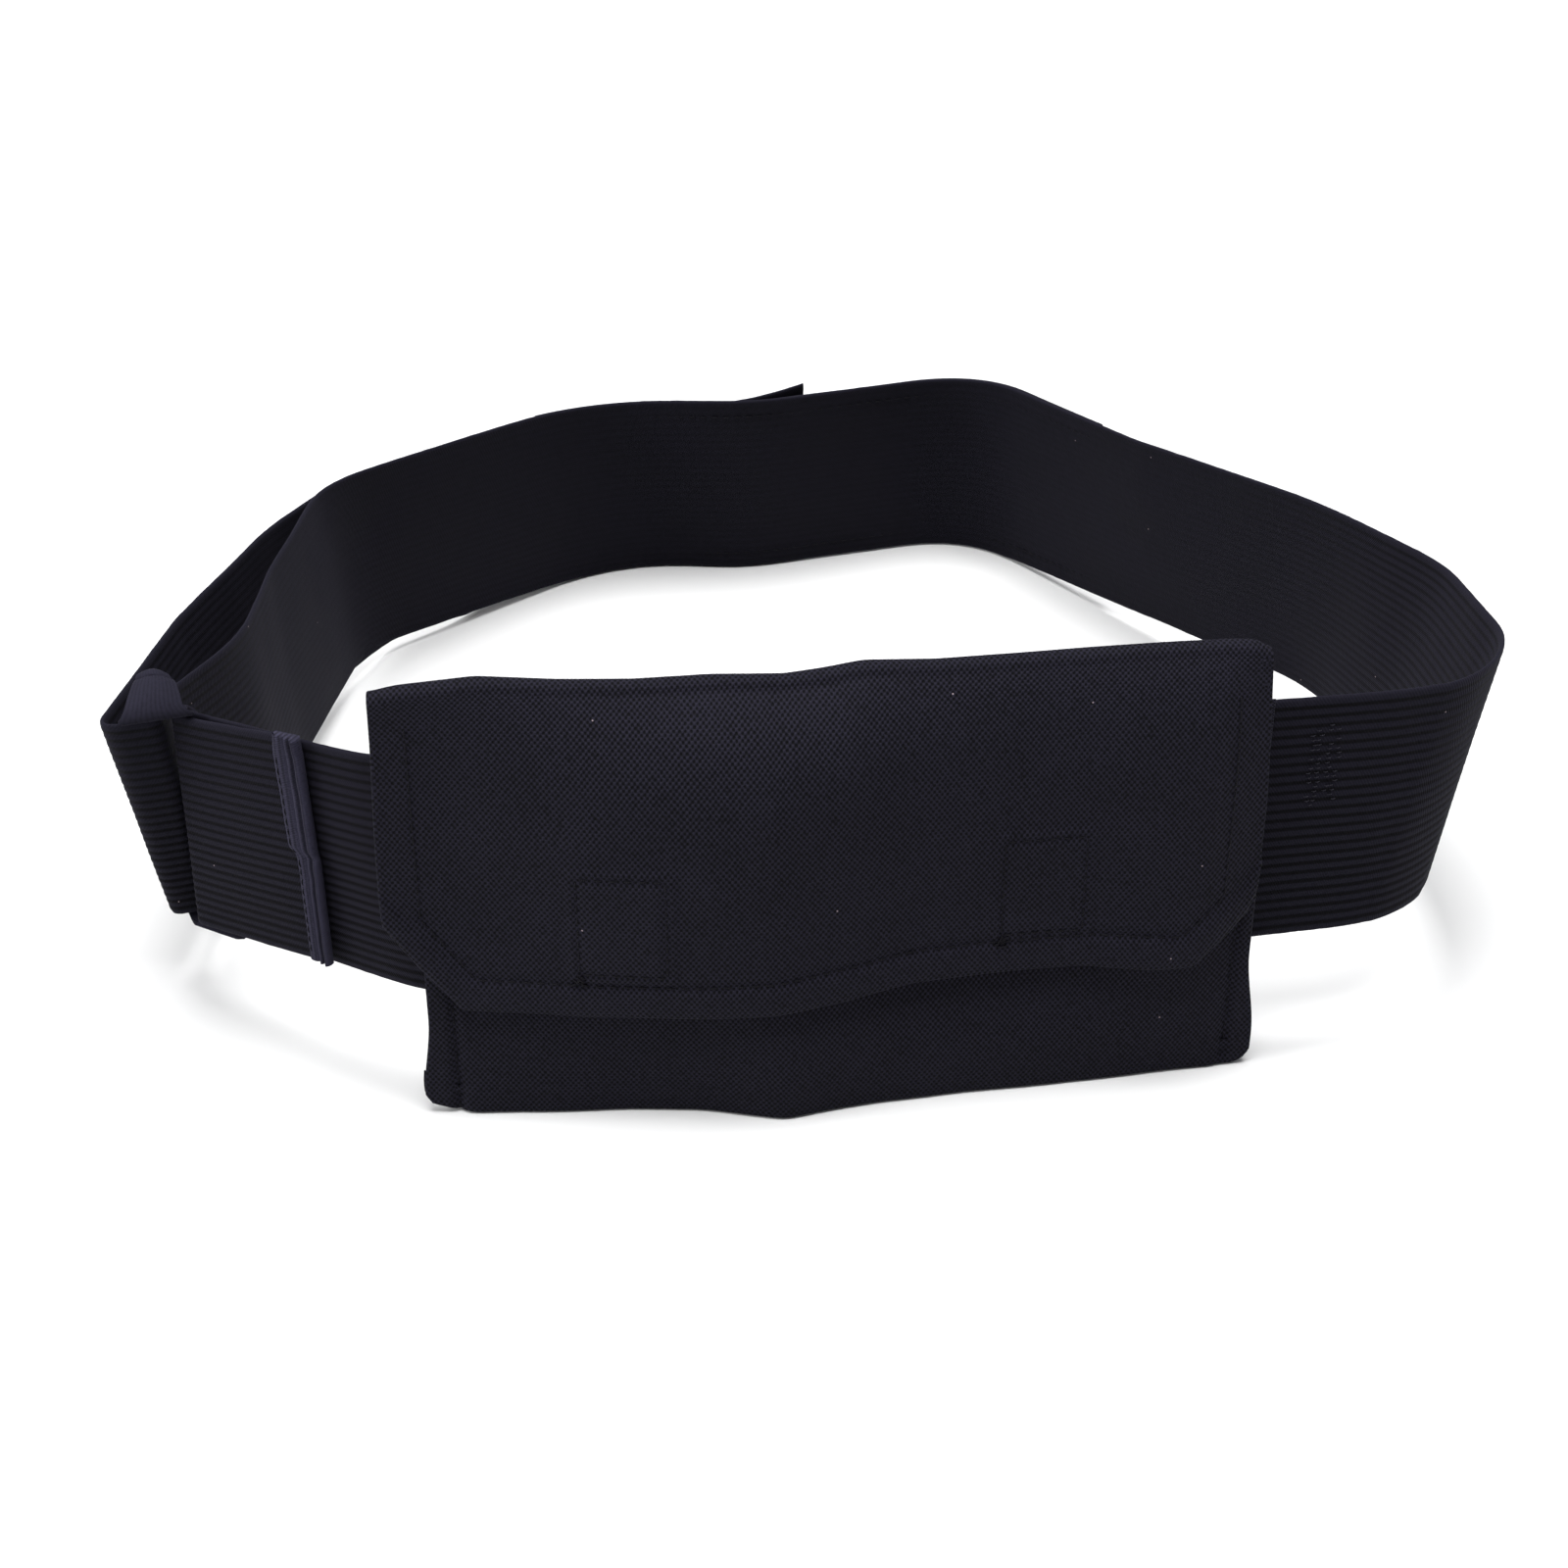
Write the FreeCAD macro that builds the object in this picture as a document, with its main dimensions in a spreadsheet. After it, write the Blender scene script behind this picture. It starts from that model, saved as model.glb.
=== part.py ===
"""Money belt: a wide ribbed elastic belt worn as a loop, with a flat fabric pouch threaded on its front.

The belt is one length of elastic. Its front end is folded round a soft keeper loop, the other end
turns back round the keeper's rear leg and fastens to itself behind the wearer with hook tape.
The pouch slides on the belt through a tunnel sewn to its back, and closes with a flap held by two
hook patches.

Frame: millimetres, +Z up, X along the pouch, the pouch faces -Y. The origin is at the centre of the
bounding box's base. The pouch's fold and the belt's back edge both stand on Z = 0.
"""
import FreeCAD, Part
import math
import os

doc = FreeCAD.newDocument("money_belt")
Vector = FreeCAD.Vector

# Driving dimensions, in millimetres unless the name says otherwise
DIMENSIONS = {
    "belt_width": 60, "belt_thickness": 1.4, "belt_line": 9.5, "belt_lift": 24.5, "back_reach": 259.4,
    "tape_width": 54, "loop_tape_thickness": 2, "hook_tape_thickness": 1.4, "layer_gap": 0.1,
    "hem_thickness": 1.3, "keeper_width": 10, "keeper_thickness": 1.2, "keeper_play": 1.6,
    "keeper_seam_foot": 20, "keeper_seam_height": 16, "keeper_seam_pitch": 2,
    "pouch_half_width": 89.5, "pouch_height": 104.8, "front_height": 96, "panel_thickness": 0.8,
    "bulge_radius": 300, "bulge_front": 9, "back_line": 6,
    "allowance_edge": 83, "allowance_width": 4.5, "allowance_thickness": 0.4, "allowance_inset": 2,
    "mouth_hem_height": 12, "mouth_hem_thickness": 0.5,
    "tunnel_half_width": 80, "tunnel_bottom": 13, "tunnel_top": 97, "tunnel_depth": 4.4, "tunnel_flange": 7,
    "flap_left": 95.5, "flap_right": 88, "flap_bottom": 27, "flap_top": 106.4,
    "lining_thickness": 0.5, "left_cut": 19, "left_rise": 18, "right_cut": 14, "right_rise": 12,
    "patch_width": 20, "patch_height": 25, "patch_foot": 37, "patch_centre": 44,
    "loop_patch_thickness": 1.2, "hook_patch_thickness": 1.2, "patch_gap": 0.25,
    "thread": 0.4, "thread_height": 0.3, "stitch_length": 2.4, "stitch_pitch": 3.4, "stitch_lift": 0.04,
    "seam_margin": 3, "seam_inset": 2, "flap_seam_inset": 7.5, "patch_seam_inset": 1.5,
    "bartack_left": 101, "bartack_width": 7, "bartack_foot": 56, "bartack_height": 26, "bartack_pitch": 1.2,
}

sheet = doc.addObject("Spreadsheet::Sheet", "Dimensions")
for row, (alias, value) in enumerate(DIMENSIONS.items(), start=1):
    sheet.set(f"A{row}", alias)
    sheet.set(f"B{row}", str(value))
    sheet.setAlias(f"B{row}", alias)
doc.recompute()


def size(alias):
    """A driving dimension as it stands in the sheet."""
    return float(sheet.get(alias))


# The belt's centre line seen from above: corner points (x, y, bend radius), rounded into arcs
FRONT_END = [(-111.8, 16.1, 0), (-141.0, 34.7, 1.6), (-139.2, 37.6, 1.6), (-94.6, 9.5, 25)]
RIGHT_SIDE = [(157.0, 9.5, 45), (156.0, 86.0, 120), (109.0, 197.0, 200)]
BACK = [(76.0, 260.0, 30), (5.0, 249.0, 50), (-40.0, 255.0, 40), (-113.0, 197.0, 30)]
LEFT_SIDE = [(-125.0, 118.0, 150), (-134.5, 38.5, 4), (-151.0, 44.0, 4), (-121.5, 172.0, 60)]

# Places on the back run where the layers behind it start and end
HINGE_SPOT = (-62.0, 237.52, 0)
TAIL_ROOT = (-61.6, 237.84, 0)
TAIL_END = (20.0, 251.32, 0)
HOOK_TAPE_ENDS = (15.0, 250.55, 0), (-56.0, 242.29, 0)
LOOP_TAPE_ENDS = (97.0, 219.91, 0), (-58.0, 240.7, 0)
HEM_SIDE = (-117.3, 19.6, 0)

# The keeper's legs seen from above: middle and direction of each
KEEPER_FRONT = Vector(-134.0, 32.3, 0), Vector(0.846, -0.533, 0)
KEEPER_REAR = Vector(-142.4, 43.0, 0), Vector(0.949, -0.316, 0)


def shifted(points, distance):
    """Corner points moved sideways, to the right of travel, so that the rounded line stays parallel."""
    spots = [Vector(x, y, 0) for x, y, _ in points]
    moved = []
    for index, (x, y, radius) in enumerate(points):
        into = (spots[max(index, 1)] - spots[max(index, 1) - 1]).normalize()
        last = min(index, len(spots) - 2)
        out = (spots[last + 1] - spots[last]).normalize()
        half_turn = math.atan2(into.cross(out).z, into.dot(out)) / 2
        sideways = Vector(into.y + out.y, -into.x - out.x, 0).normalize()
        spot = Vector(x, y, 0) + sideways * (distance / math.cos(half_turn))
        bend = radius + math.copysign(distance, half_turn) if radius else 0
        moved.append((spot.x, spot.y, bend))
    return moved


def track(points):
    """Straight runs and tangent arcs through the corner points: (start, end, arc centre or None, turn)."""
    spots = [Vector(x, y, 0) for x, y, _ in points]
    runs = []
    start = spots[0]
    for before, corner, after, (_, _, radius) in zip(spots, spots[1:], spots[2:], points[1:]):
        into = (corner - before).normalize()
        out = (after - corner).normalize()
        turn = math.atan2(into.cross(out).z, into.dot(out))
        reach = radius * math.tan(abs(turn) / 2)
        bend_start = corner - into * reach
        runs.append((start, bend_start, None, 0))
        start = corner + out * reach
        if radius:
            inward = Vector(-into.y, into.x, 0) * math.copysign(radius, turn)
            runs.append((bend_start, start, bend_start + inward, turn))
    runs.append((start, spots[-1], None, 0))
    return runs


def sideways_at(run, spot):
    """Unit vector to the right of travel at a spot of a run."""
    start, end, centre, turn = run
    if centre is None:
        heading = (end - start).normalize()
        return Vector(heading.y, -heading.x, 0)
    return (spot - centre).normalize() * math.copysign(1, turn)


def run_edge(run, distance):
    """One run of a track, moved sideways, as sketch geometry with its two ends."""
    start, end, centre, turn = run
    first = start + sideways_at(run, start) * distance
    last = end + sideways_at(run, end) * distance
    if centre is None:
        return Part.LineSegment(first, last), first, last
    middle = centre + ((first + last) / 2 - centre).normalize() * (first - centre).Length
    return Part.ArcOfCircle(first, middle, last), first, last


def band(points, near, far):
    """Closed outline between two lines parallel to a track, at distances to the right of travel."""
    sides = [[run_edge(run, distance) for run in track(points)] for distance in (near, far)]
    near_side, far_side = sides
    start_cap = Part.LineSegment(near_side[0][1], far_side[0][1])
    end_cap = Part.LineSegment(near_side[-1][2], far_side[-1][2])
    return [edge for side in sides for edge, _, _ in side] + [start_cap, end_cap]


def along(points, first, last, pitch):
    """Spots every pitch along a track between two distances, each with its sideways direction."""
    spots = []
    passed = 0
    wanted = first
    for run in track(points):
        start, end, centre, turn = run
        length = (end - start).Length if centre is None else (start - centre).Length * abs(turn)
        while wanted <= min(passed + length, last):
            share = (wanted - passed) / length
            if centre is None:
                spot = start + (end - start) * share
            else:
                spin = FreeCAD.Rotation(Vector(0, 0, 1), math.degrees(turn * share))
                spot = centre + spin.multVec(start - centre)
            spots.append((spot, sideways_at(run, spot)))
            wanted += pitch
        passed += length
    return spots


def polygon(*corners):
    """Closed outline of straight edges through (x, y) corners."""
    spots = [Vector(x, y, 0) for x, y in corners]
    return [Part.LineSegment(a, b) for a, b in zip(spots, spots[1:] + spots[:1])]


def rectangle(left, right, low, high):
    """Closed rectangular outline."""
    return polygon((left, low), (right, low), (right, high), (left, high))


BULGE_CENTRE = size("bulge_radius") - size("bulge_front")


def bulge(offset, across):
    """Y of the pouch's bowed front at a distance outside its outer face and a place across it."""
    radius = size("bulge_radius") + offset
    return BULGE_CENTRE - math.sqrt(radius ** 2 - across ** 2)


def bow(offset, left, right):
    """The bowed line itself, as one arc from left to right."""
    ends = [Vector(x, bulge(offset, x), 0) for x in (left, (left + right) / 2, right)]
    return Part.ArcOfCircle(*ends)


def crescent(offset, left, right, back):
    """Outline between the bowed front and a straight back line."""
    return [bow(offset, left, right)] + [
        Part.LineSegment(Vector(*a, 0), Vector(*b, 0))
        for a, b in (((right, bulge(offset, right)), (right, back)), ((right, back), (left, back)),
                     ((left, back), (left, bulge(offset, left))))]


def bowed_strip(near, far, left, right):
    """Outline of a thin strip that follows the bowed front."""
    ends = [Part.LineSegment(Vector(x, bulge(near, x), 0), Vector(x, bulge(far, x), 0)) for x in (left, right)]
    return [bow(near, left, right), bow(far, left, right)] + ends


def add_sketch(body, name, plane, outline, height=None):
    """A sketch on one of the body's own origin planes, raised by a sheet expression."""
    sketch = body.newObject("Sketcher::SketchObject", name)
    support = [feature for feature in body.Origin.OriginFeatures if feature.Role == plane][0]
    sketch.AttachmentSupport = [(support, "")]
    sketch.MapMode = "FlatFace"
    sketch.addGeometry(outline, False)
    if height:
        sketch.setExpression("AttachmentOffset.Base.z", height)
    return sketch


def add_pad(body, outline, length, height=None, plane="XY_Plane", middle=False):
    """Material grown from an outline, up from its plane or both ways from it."""
    pad = body.newObject("PartDesign::Pad", f"{body.Name}_pad")
    pad.Profile = add_sketch(body, f"{body.Name}_outline", plane, outline, height)
    pad.setExpression("Length", length)
    pad.Midplane = middle
    return pad


def add_pocket(body, outline, length, height=None, plane="XY_Plane", middle=False):
    """Material cut away along the plane's normal, or both ways from it."""
    pocket = body.newObject("PartDesign::Pocket", f"{body.Name}_pocket")
    pocket.Profile = add_sketch(body, f"{body.Name}_cut", plane, outline, height)
    pocket.setExpression("Length", length)
    pocket.Reversed = not middle
    pocket.Midplane = middle
    return pocket


# Angle in degrees by which the belt's edges lean down from front to back
LEAN = math.degrees(math.atan(size("belt_lift") / (size("back_reach") - size("belt_line"))))
# The tilted slab that trims the belt's bands: wider and deeper than the whole loop
SLAB_SPAN = 700
SLAB_LEAD = 100
# Cutting outlines reach this far past the material
OVERRUN = 10
NODES = []


def keep(part, name):
    """Name a finished sub-part and remember it for export."""
    part.Label = name
    NODES.append(part)
    return part


def edge_height(depth):
    """Height of the belt's lower edge at a place from front to back."""
    return size("belt_lift") - math.tan(math.radians(LEAN)) * (depth - size("belt_line"))


def leaning_band(name, points, near, far, width="belt_width"):
    """A band of the belt, upright on edge, whose edges lean down evenly from the front to the back."""
    strip = doc.addObject("PartDesign::Body", f"{name}_strip")
    add_pad(strip, band(points, near, far), "Dimensions.belt_width * 2", "-Dimensions.belt_width / 2")
    slab = doc.addObject("Part::Box", f"{name}_slab")
    slab.Length = slab.Width = SLAB_SPAN
    slab.setExpression("Height", f"Dimensions.{width} * {math.cos(math.radians(LEAN))}")
    foot = size("belt_lift") + (size("belt_width") - size(width)) / 2
    tilt = FreeCAD.Rotation(Vector(1, 0, 0), -LEAN)
    hinge = FreeCAD.Placement(Vector(0, size("belt_line"), foot), tilt)
    start = FreeCAD.Placement(Vector(-SLAB_SPAN / 2, -SLAB_LEAD, 0), FreeCAD.Rotation())
    slab.Placement = hinge.multiply(start)
    common = doc.addObject("Part::Common", name)
    common.Base = strip
    common.Tool = slab
    return keep(common, name)


def bowed_patch(name, near, far, left, right, foot, height):
    """A thin piece that follows the pouch's bowed front."""
    body = doc.addObject("PartDesign::Body", name)
    add_pad(body, bowed_strip(near, far, left, right), height, foot)
    return keep(body, name)


def stitches(name, places):
    """Separate stitches, each lying on a surface: places give (spot, direction, outward)."""
    threads = []
    for spot, direction, outward in places:
        thread = Part.makeBox(size("stitch_length"), size("thread"), size("thread_height"))
        thread.translate(Vector(-size("stitch_length") / 2, -size("thread") / 2, 0))
        turn = FreeCAD.Rotation(direction, outward.cross(direction), outward, "XZY")
        lifted = spot + outward * size("stitch_lift")
        thread.Placement = FreeCAD.Placement(lifted, turn).multiply(thread.Placement)
        threads.append(thread)
    feature = doc.addObject("Part::Feature", name)
    feature.Shape = Part.makeCompound(threads)
    return keep(feature, name)


UP = Vector(0, 0, 1)


def upright_row(spot, outward, low, high):
    """A vertical row of stitches on a wall."""
    count = int((high - low) / size("stitch_pitch"))
    return [(Vector(spot.x, spot.y, low + step * size("stitch_pitch")), UP, outward) for step in range(count)]


def bowed_row(offset, corners, outside=1):
    """Stitches on the pouch's bowed front along (across, height) corners, on its outer or inner side."""
    places = []
    length = sum(math.dist(a[:2], b[:2]) for a, b in zip(corners, corners[1:]))
    margin = size("stitch_length") / 2
    for spot, sideways in along(corners, margin, length - margin, size("stitch_pitch")):
        wall = Vector(spot.x, bulge(offset, spot.x), spot.y)
        outward = Vector(wall.x, wall.y - BULGE_CENTRE, 0).normalize()
        across = UP.cross(outward)
        heading = Vector(-sideways.y, sideways.x, 0)
        places.append((wall, across * heading.x + UP * heading.y, outward * outside))
    return places


def flat_row(depth, outward, left, right, height):
    """A level row of stitches on a flat upright panel."""
    pitch = size("stitch_pitch")
    steps = range(int((right - left) / pitch))
    return [(Vector(left + step * pitch, depth, height), Vector(1, 0, 0), outward) for step in steps]


def tape_row(points, distance, raised):
    """A row of stitches along a tape behind the belt, at a height above the belt's lower edge."""
    length = sum(math.dist(a[:2], b[:2]) for a, b in zip(points, points[1:]))
    margin = size("seam_margin")
    places = []
    for spot, outward in along(points, margin, length - margin, size("stitch_pitch")):
        wall = spot + outward * distance
        places.append((Vector(wall.x, wall.y, edge_height(wall.y) + raised), UP.cross(outward), outward))
    return places


# --- The belt: one length of elastic, folded round the keeper in front, doubled back behind ---
half_belt = size("belt_thickness") / 2
loop_tape_near = half_belt + size("layer_gap")
loop_tape_far = loop_tape_near + size("loop_tape_thickness")
hook_tape_near = loop_tape_far + size("patch_gap")
hook_tape_far = hook_tape_near + size("hook_tape_thickness")
tail_near = hook_tape_far + size("layer_gap")
tail_far = tail_near + size("belt_thickness")
outer_layer = shifted([HINGE_SPOT, BACK[-1], LEFT_SIDE[0]], (tail_near + tail_far) / 2)[:2]
belt_route = FRONT_END + RIGHT_SIDE + BACK + LEFT_SIDE + outer_layer[::-1]
leaning_band("elastic_strap", belt_route, -half_belt, half_belt)

hem_near = -half_belt - size("layer_gap")
leaning_band("strap_hem", [FRONT_END[0], HEM_SIDE], hem_near, hem_near - size("hem_thickness"))
hem_run = track([FRONT_END[0], HEM_SIDE])[0]
hem_out = sideways_at(hem_run, hem_run[0]) * -1
hem_rows = []
margin = size("seam_margin")
for share in (0.25, 0.75):
    seam = hem_run[0] + (hem_run[1] - hem_run[0]) * share - hem_out * (hem_near - size("hem_thickness"))
    foot = edge_height(seam.y)
    hem_rows += upright_row(seam, hem_out, foot + margin, foot + size("belt_width") - margin)
stitches("hem_stitching", hem_rows)

# --- The soft keeper: two upright legs joined over and under the belt ---
keeper_low = edge_height(KEEPER_REAR[0].y) - size("keeper_play")
keeper_high = edge_height(KEEPER_FRONT[0].y) + size("belt_width") + size("keeper_play")


def leg_ends(leg, rearward, reach):
    """Left and right ends, as (x, y), of a line along a keeper leg at a distance behind its middle."""
    middle, direction = leg
    line = middle + Vector(-direction.y, direction.x, 0) * rearward
    return [(end.x, end.y) for end in (line - direction * reach, line + direction * reach)]


half_leg = size("keeper_thickness") / 2
half_keeper = size("keeper_width") / 2
front_outer, front_inner = [leg_ends(KEEPER_FRONT, side * half_leg, half_keeper) for side in (-1, 1)]
rear_inner, rear_outer = [leg_ends(KEEPER_REAR, side * half_leg, half_keeper) for side in (-1, 1)]
keeper_block = doc.addObject("PartDesign::Body", "keeper_block")
add_pad(keeper_block, polygon(*front_outer, front_inner[1], rear_inner[1], *rear_outer[::-1], rear_inner[0],
                              front_inner[0]),
        f"{keeper_high - keeper_low} + 2 * Dimensions.keeper_thickness",
        f"{keeper_low} - Dimensions.keeper_thickness")
keeper_core = doc.addObject("PartDesign::Body", "keeper_core")
core_front = leg_ends(KEEPER_FRONT, half_leg, half_keeper + OVERRUN)
core_rear = leg_ends(KEEPER_REAR, -half_leg, half_keeper + OVERRUN)
add_pad(keeper_core, polygon(*core_front, *core_rear[::-1]), f"{keeper_high - keeper_low}", f"{keeper_low}")
keeper = doc.addObject("Part::Cut", "keeper_loop")
keeper.Base = keeper_block
keeper.Tool = keeper_core
keep(keeper, "keeper_loop")
keeper_out = Vector(-KEEPER_REAR[1].y, KEEPER_REAR[1].x, 0)
keeper_seams = []
seam_foot = keeper_low + size("keeper_seam_foot")
for column in (-1, 0, 1):
    seam = KEEPER_REAR[0] + keeper_out * half_leg + KEEPER_REAR[1] * column * size("keeper_seam_pitch")
    keeper_seams += upright_row(seam, keeper_out, seam_foot, seam_foot + size("keeper_seam_height"))
stitches("keeper_stitching", keeper_seams)

# --- Bar tack on the belt's right front ---
front_face = size("belt_line") - half_belt
tack_places = []
for column in (0.2, 0.8):
    centre = size("bartack_left") + size("bartack_width") * column
    for step in range(int(size("bartack_height") / size("bartack_pitch"))):
        height = size("bartack_foot") + step * size("bartack_pitch")
        tack_places.append((Vector(centre, front_face, height), Vector(1, 0, 0), Vector(0, -1, 0)))
stitches("right_bartack", tack_places)

# --- Fastening behind the wearer: loop tape on the belt, hook tape on the free tail ---
loop_tape = [LOOP_TAPE_ENDS[0], BACK[0], BACK[1], BACK[2], LOOP_TAPE_ENDS[1]]
leaning_band("back_loop_tape", loop_tape, loop_tape_near, loop_tape_far, "tape_width")
open_tape = [LOOP_TAPE_ENDS[0], BACK[0], TAIL_END]
low_seam = (size("belt_width") - size("tape_width")) / 2 + size("seam_inset")
tape_seams = low_seam, size("belt_width") - low_seam
stitches("loop_tape_stitching", [place for raised in tape_seams
                                 for place in tape_row(open_tape, loop_tape_far, raised)])
leaning_band("strap_tail", [TAIL_END, BACK[1], BACK[2], TAIL_ROOT], tail_near, tail_far)
hook_tape = [HOOK_TAPE_ENDS[0], BACK[1], BACK[2], HOOK_TAPE_ENDS[1]]
leaning_band("tail_hook_tape", hook_tape, hook_tape_near, hook_tape_far, "tape_width")
stitches("hook_tape_stitching", [place for raised in tape_seams
                                 for place in tape_row(hook_tape, tail_far, raised)])

# --- The pouch's body: a bowed front folded up from the bottom, against a flat back ---
half_pouch = size("pouch_half_width")
panel = size("panel_thickness")
beyond = half_pouch + OVERRUN
back_inside = size("back_line") - size("layer_gap")
back_face = size("back_line") + panel
front_panel = doc.addObject("PartDesign::Body", "front_panel")
add_pad(front_panel, crescent(0, -half_pouch, half_pouch, back_inside), "Dimensions.front_height")
add_pocket(front_panel, crescent(-panel, -beyond, beyond, back_face + OVERRUN),
           "Dimensions.front_height", "Dimensions.panel_thickness")
keep(front_panel, "front_panel")

back_panel = doc.addObject("PartDesign::Body", "back_panel")
add_pad(back_panel, rectangle(-half_pouch, half_pouch, size("back_line"), back_face), "Dimensions.pouch_height")
keep(back_panel, "back_panel")

allowance_edge = size("allowance_edge")
hem_inside = -panel - size("layer_gap")
bowed_patch("mouth_hem", hem_inside - size("mouth_hem_thickness"), hem_inside, -allowance_edge, allowance_edge,
            "Dimensions.front_height - Dimensions.mouth_hem_height", "Dimensions.mouth_hem_height")
mouth_seam = size("front_height") - size("mouth_hem_height") + size("seam_inset")
mouth_reach = allowance_edge - margin
mouth_line = [(-mouth_reach, mouth_seam, 0), (mouth_reach, mouth_seam, 0)]
stitches("mouth_hem_stitching", bowed_row(0, mouth_line))

side_seams = []
for side, name in ((-1, "side_allowance_left"), (1, "side_allowance_right")):
    allowance = doc.addObject("PartDesign::Body", name)
    edges = sorted((side * allowance_edge, side * (allowance_edge + size("allowance_width"))))
    add_pad(allowance, rectangle(*edges, back_inside - size("allowance_thickness"), back_inside),
            "Dimensions.front_height - 2 * Dimensions.allowance_inset", "Dimensions.allowance_inset")
    keep(allowance, name)
    across = side * allowance_edge
    side_seams += bowed_row(0, [(across, margin, 0), (across, size("front_height") - margin, 0)])
stitches("side_stitching", side_seams)

# --- The tunnel on the pouch's back, which the belt runs through ---
tunnel = doc.addObject("PartDesign::Body", "belt_tunnel")
low, high, flange = size("tunnel_bottom"), size("tunnel_top"), size("tunnel_flange")
wall = back_face + size("layer_gap")
raised_wall = wall + size("tunnel_depth")
lower_step, upper_step = low + flange, high - flange
tunnel_section = polygon(
    (wall, low), (wall + panel, low), (wall + panel, lower_step - panel),
    (raised_wall + panel, lower_step - panel), (raised_wall + panel, upper_step + panel),
    (wall + panel, upper_step + panel), (wall + panel, high), (wall, high),
    (wall, upper_step), (raised_wall, upper_step), (raised_wall, lower_step), (wall, lower_step))
add_pad(tunnel, tunnel_section, "Dimensions.tunnel_half_width * 2", plane="YZ_Plane", middle=True)
keep(tunnel, "belt_tunnel")
reach = size("tunnel_half_width") - margin
stitches("tunnel_stitching", [place for height in (low + flange / 2, high - flange / 2)
                              for place in flat_row(wall + panel, Vector(0, 1, 0), -reach, reach, height)])

# --- The flap: two layers that come over the mouth, with cut corners, clear of the patches between ---
flap_left, flap_right = -size("flap_left"), size("flap_right")
flap_foot, flap_top = size("flap_bottom"), size("flap_top")
loop_near = size("layer_gap")
loop_far = loop_near + size("loop_patch_thickness")
hook_near = loop_far + size("patch_gap")
hook_far = hook_near + size("hook_patch_thickness")
lining_near = hook_far + size("layer_gap")
outer_near = lining_near + size("lining_thickness") + size("layer_gap")


def flap_layer(name, near, thickness, inset, top):
    """One layer of the flap: a bowed wall under a top sheet, with both lower corners cut."""
    layer = doc.addObject("PartDesign::Body", name)
    foot = f"Dimensions.flap_bottom + {inset}"
    add_pad(layer, crescent(near + thickness, flap_left + inset, flap_right - inset, back_face),
            f"{top} - ({foot})", foot)
    add_pocket(layer, crescent(near, -beyond, beyond, back_face + OVERRUN),
               f"{top} - {thickness} - ({foot})", foot)
    hem_line = flap_foot + inset
    for corner, inward, cut, rise in ((flap_left, 1, size("left_cut"), size("left_rise")),
                                      (flap_right, -1, size("right_cut"), size("right_rise"))):
        edge = corner - inward * OVERRUN
        across = corner + inward * (cut + inset)
        add_pocket(layer, polygon((across, hem_line - OVERRUN), (edge, hem_line - OVERRUN),
                                  (edge, hem_line + rise / cut * (cut + OVERRUN)), (across, hem_line)),
                   "Dimensions.pouch_height", plane="XZ_Plane", middle=True)
    return keep(layer, name)


flap_layer("flap_outer", outer_near, panel, 0, "Dimensions.flap_top")
lining_inset = size("lining_thickness") + size("layer_gap")
lining_top = "Dimensions.flap_top - Dimensions.panel_thickness - Dimensions.layer_gap"
flap_layer("flap_lining", lining_near, size("lining_thickness"), lining_inset, f"({lining_top})")

flap_edge = [(flap_left, flap_top - margin, 0), (flap_left, flap_foot + size("left_rise"), 0),
             (flap_left + size("left_cut"), flap_foot, 0), (flap_right - size("right_cut"), flap_foot, 0),
             (flap_right, flap_foot + size("right_rise"), 0), (flap_right, flap_top - margin, 0)]
flap_face = outer_near + panel
stitches("flap_stitching", bowed_row(flap_face, shifted(flap_edge, -size("flap_seam_inset"))))

# --- Hook and loop patches that close the flap ---
half_patch = size("patch_width") / 2
patch_inset = size("patch_seam_inset")
seam_low = size("patch_foot") + patch_inset
seam_high = size("patch_foot") + size("patch_height") - patch_inset
hook_seams, loop_seams = [], []
for centre, side in ((-size("patch_centre"), "left"), (size("patch_centre"), "right")):
    left, right = centre - half_patch, centre + half_patch
    for kind, near, far in (("loop", loop_near, loop_far), ("hook", hook_near, hook_far)):
        bowed_patch(f"{kind}_patch_{side}", near, far, left, right,
                    "Dimensions.patch_foot", "Dimensions.patch_height")
    square = [(left + patch_inset, seam_low, 0), (right - patch_inset, seam_low, 0),
              (right - patch_inset, seam_high, 0), (left + patch_inset, seam_high, 0),
              (left + patch_inset, seam_low, 0)]
    hook_seams += bowed_row(flap_face, square)
    loop_seams += bowed_row(-panel, square, outside=-1)
stitches("hook_patch_stitching", hook_seams)
stitches("loop_patch_stitching", loop_seams)

doc.recompute()
failed = [item.Name for item in doc.Objects if {"Invalid", "Error"} & set(item.State)]
if failed:
    raise SystemExit(f"features that failed: {failed}")

# The origin moves to the centre of the whole belt's base
whole = NODES[0].Shape.BoundBox
for node in NODES:
    whole.add(node.Shape.BoundBox)
centre = Vector(whole.Center.x, whole.Center.y, 0)
for node in NODES:
    node.Placement = FreeCAD.Placement(centre * -1, FreeCAD.Rotation()).multiply(node.Placement)
doc.recompute()
print(f"base centre in building coordinates: {centre.x:.3f} {centre.y:.3f}")

os.makedirs("parts", exist_ok=True)
for node in NODES:
    shape = node.Shape
    if shape.isNull() or not shape.isValid():
        raise SystemExit(f"bad shape: {node.Label}")
    shape.exportStep(f"parts/{node.Label}.step")
    box = shape.BoundBox
    print(f"{node.Label:22s} solids {len(shape.Solids):3d} volume {shape.Volume:9.1f} "
          f"x {box.XMin:6.1f} {box.XMax:6.1f} y {box.YMin:6.1f} {box.YMax:6.1f} "
          f"z {box.ZMin:5.1f} {box.ZMax:5.1f}")
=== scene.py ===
import math

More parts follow.
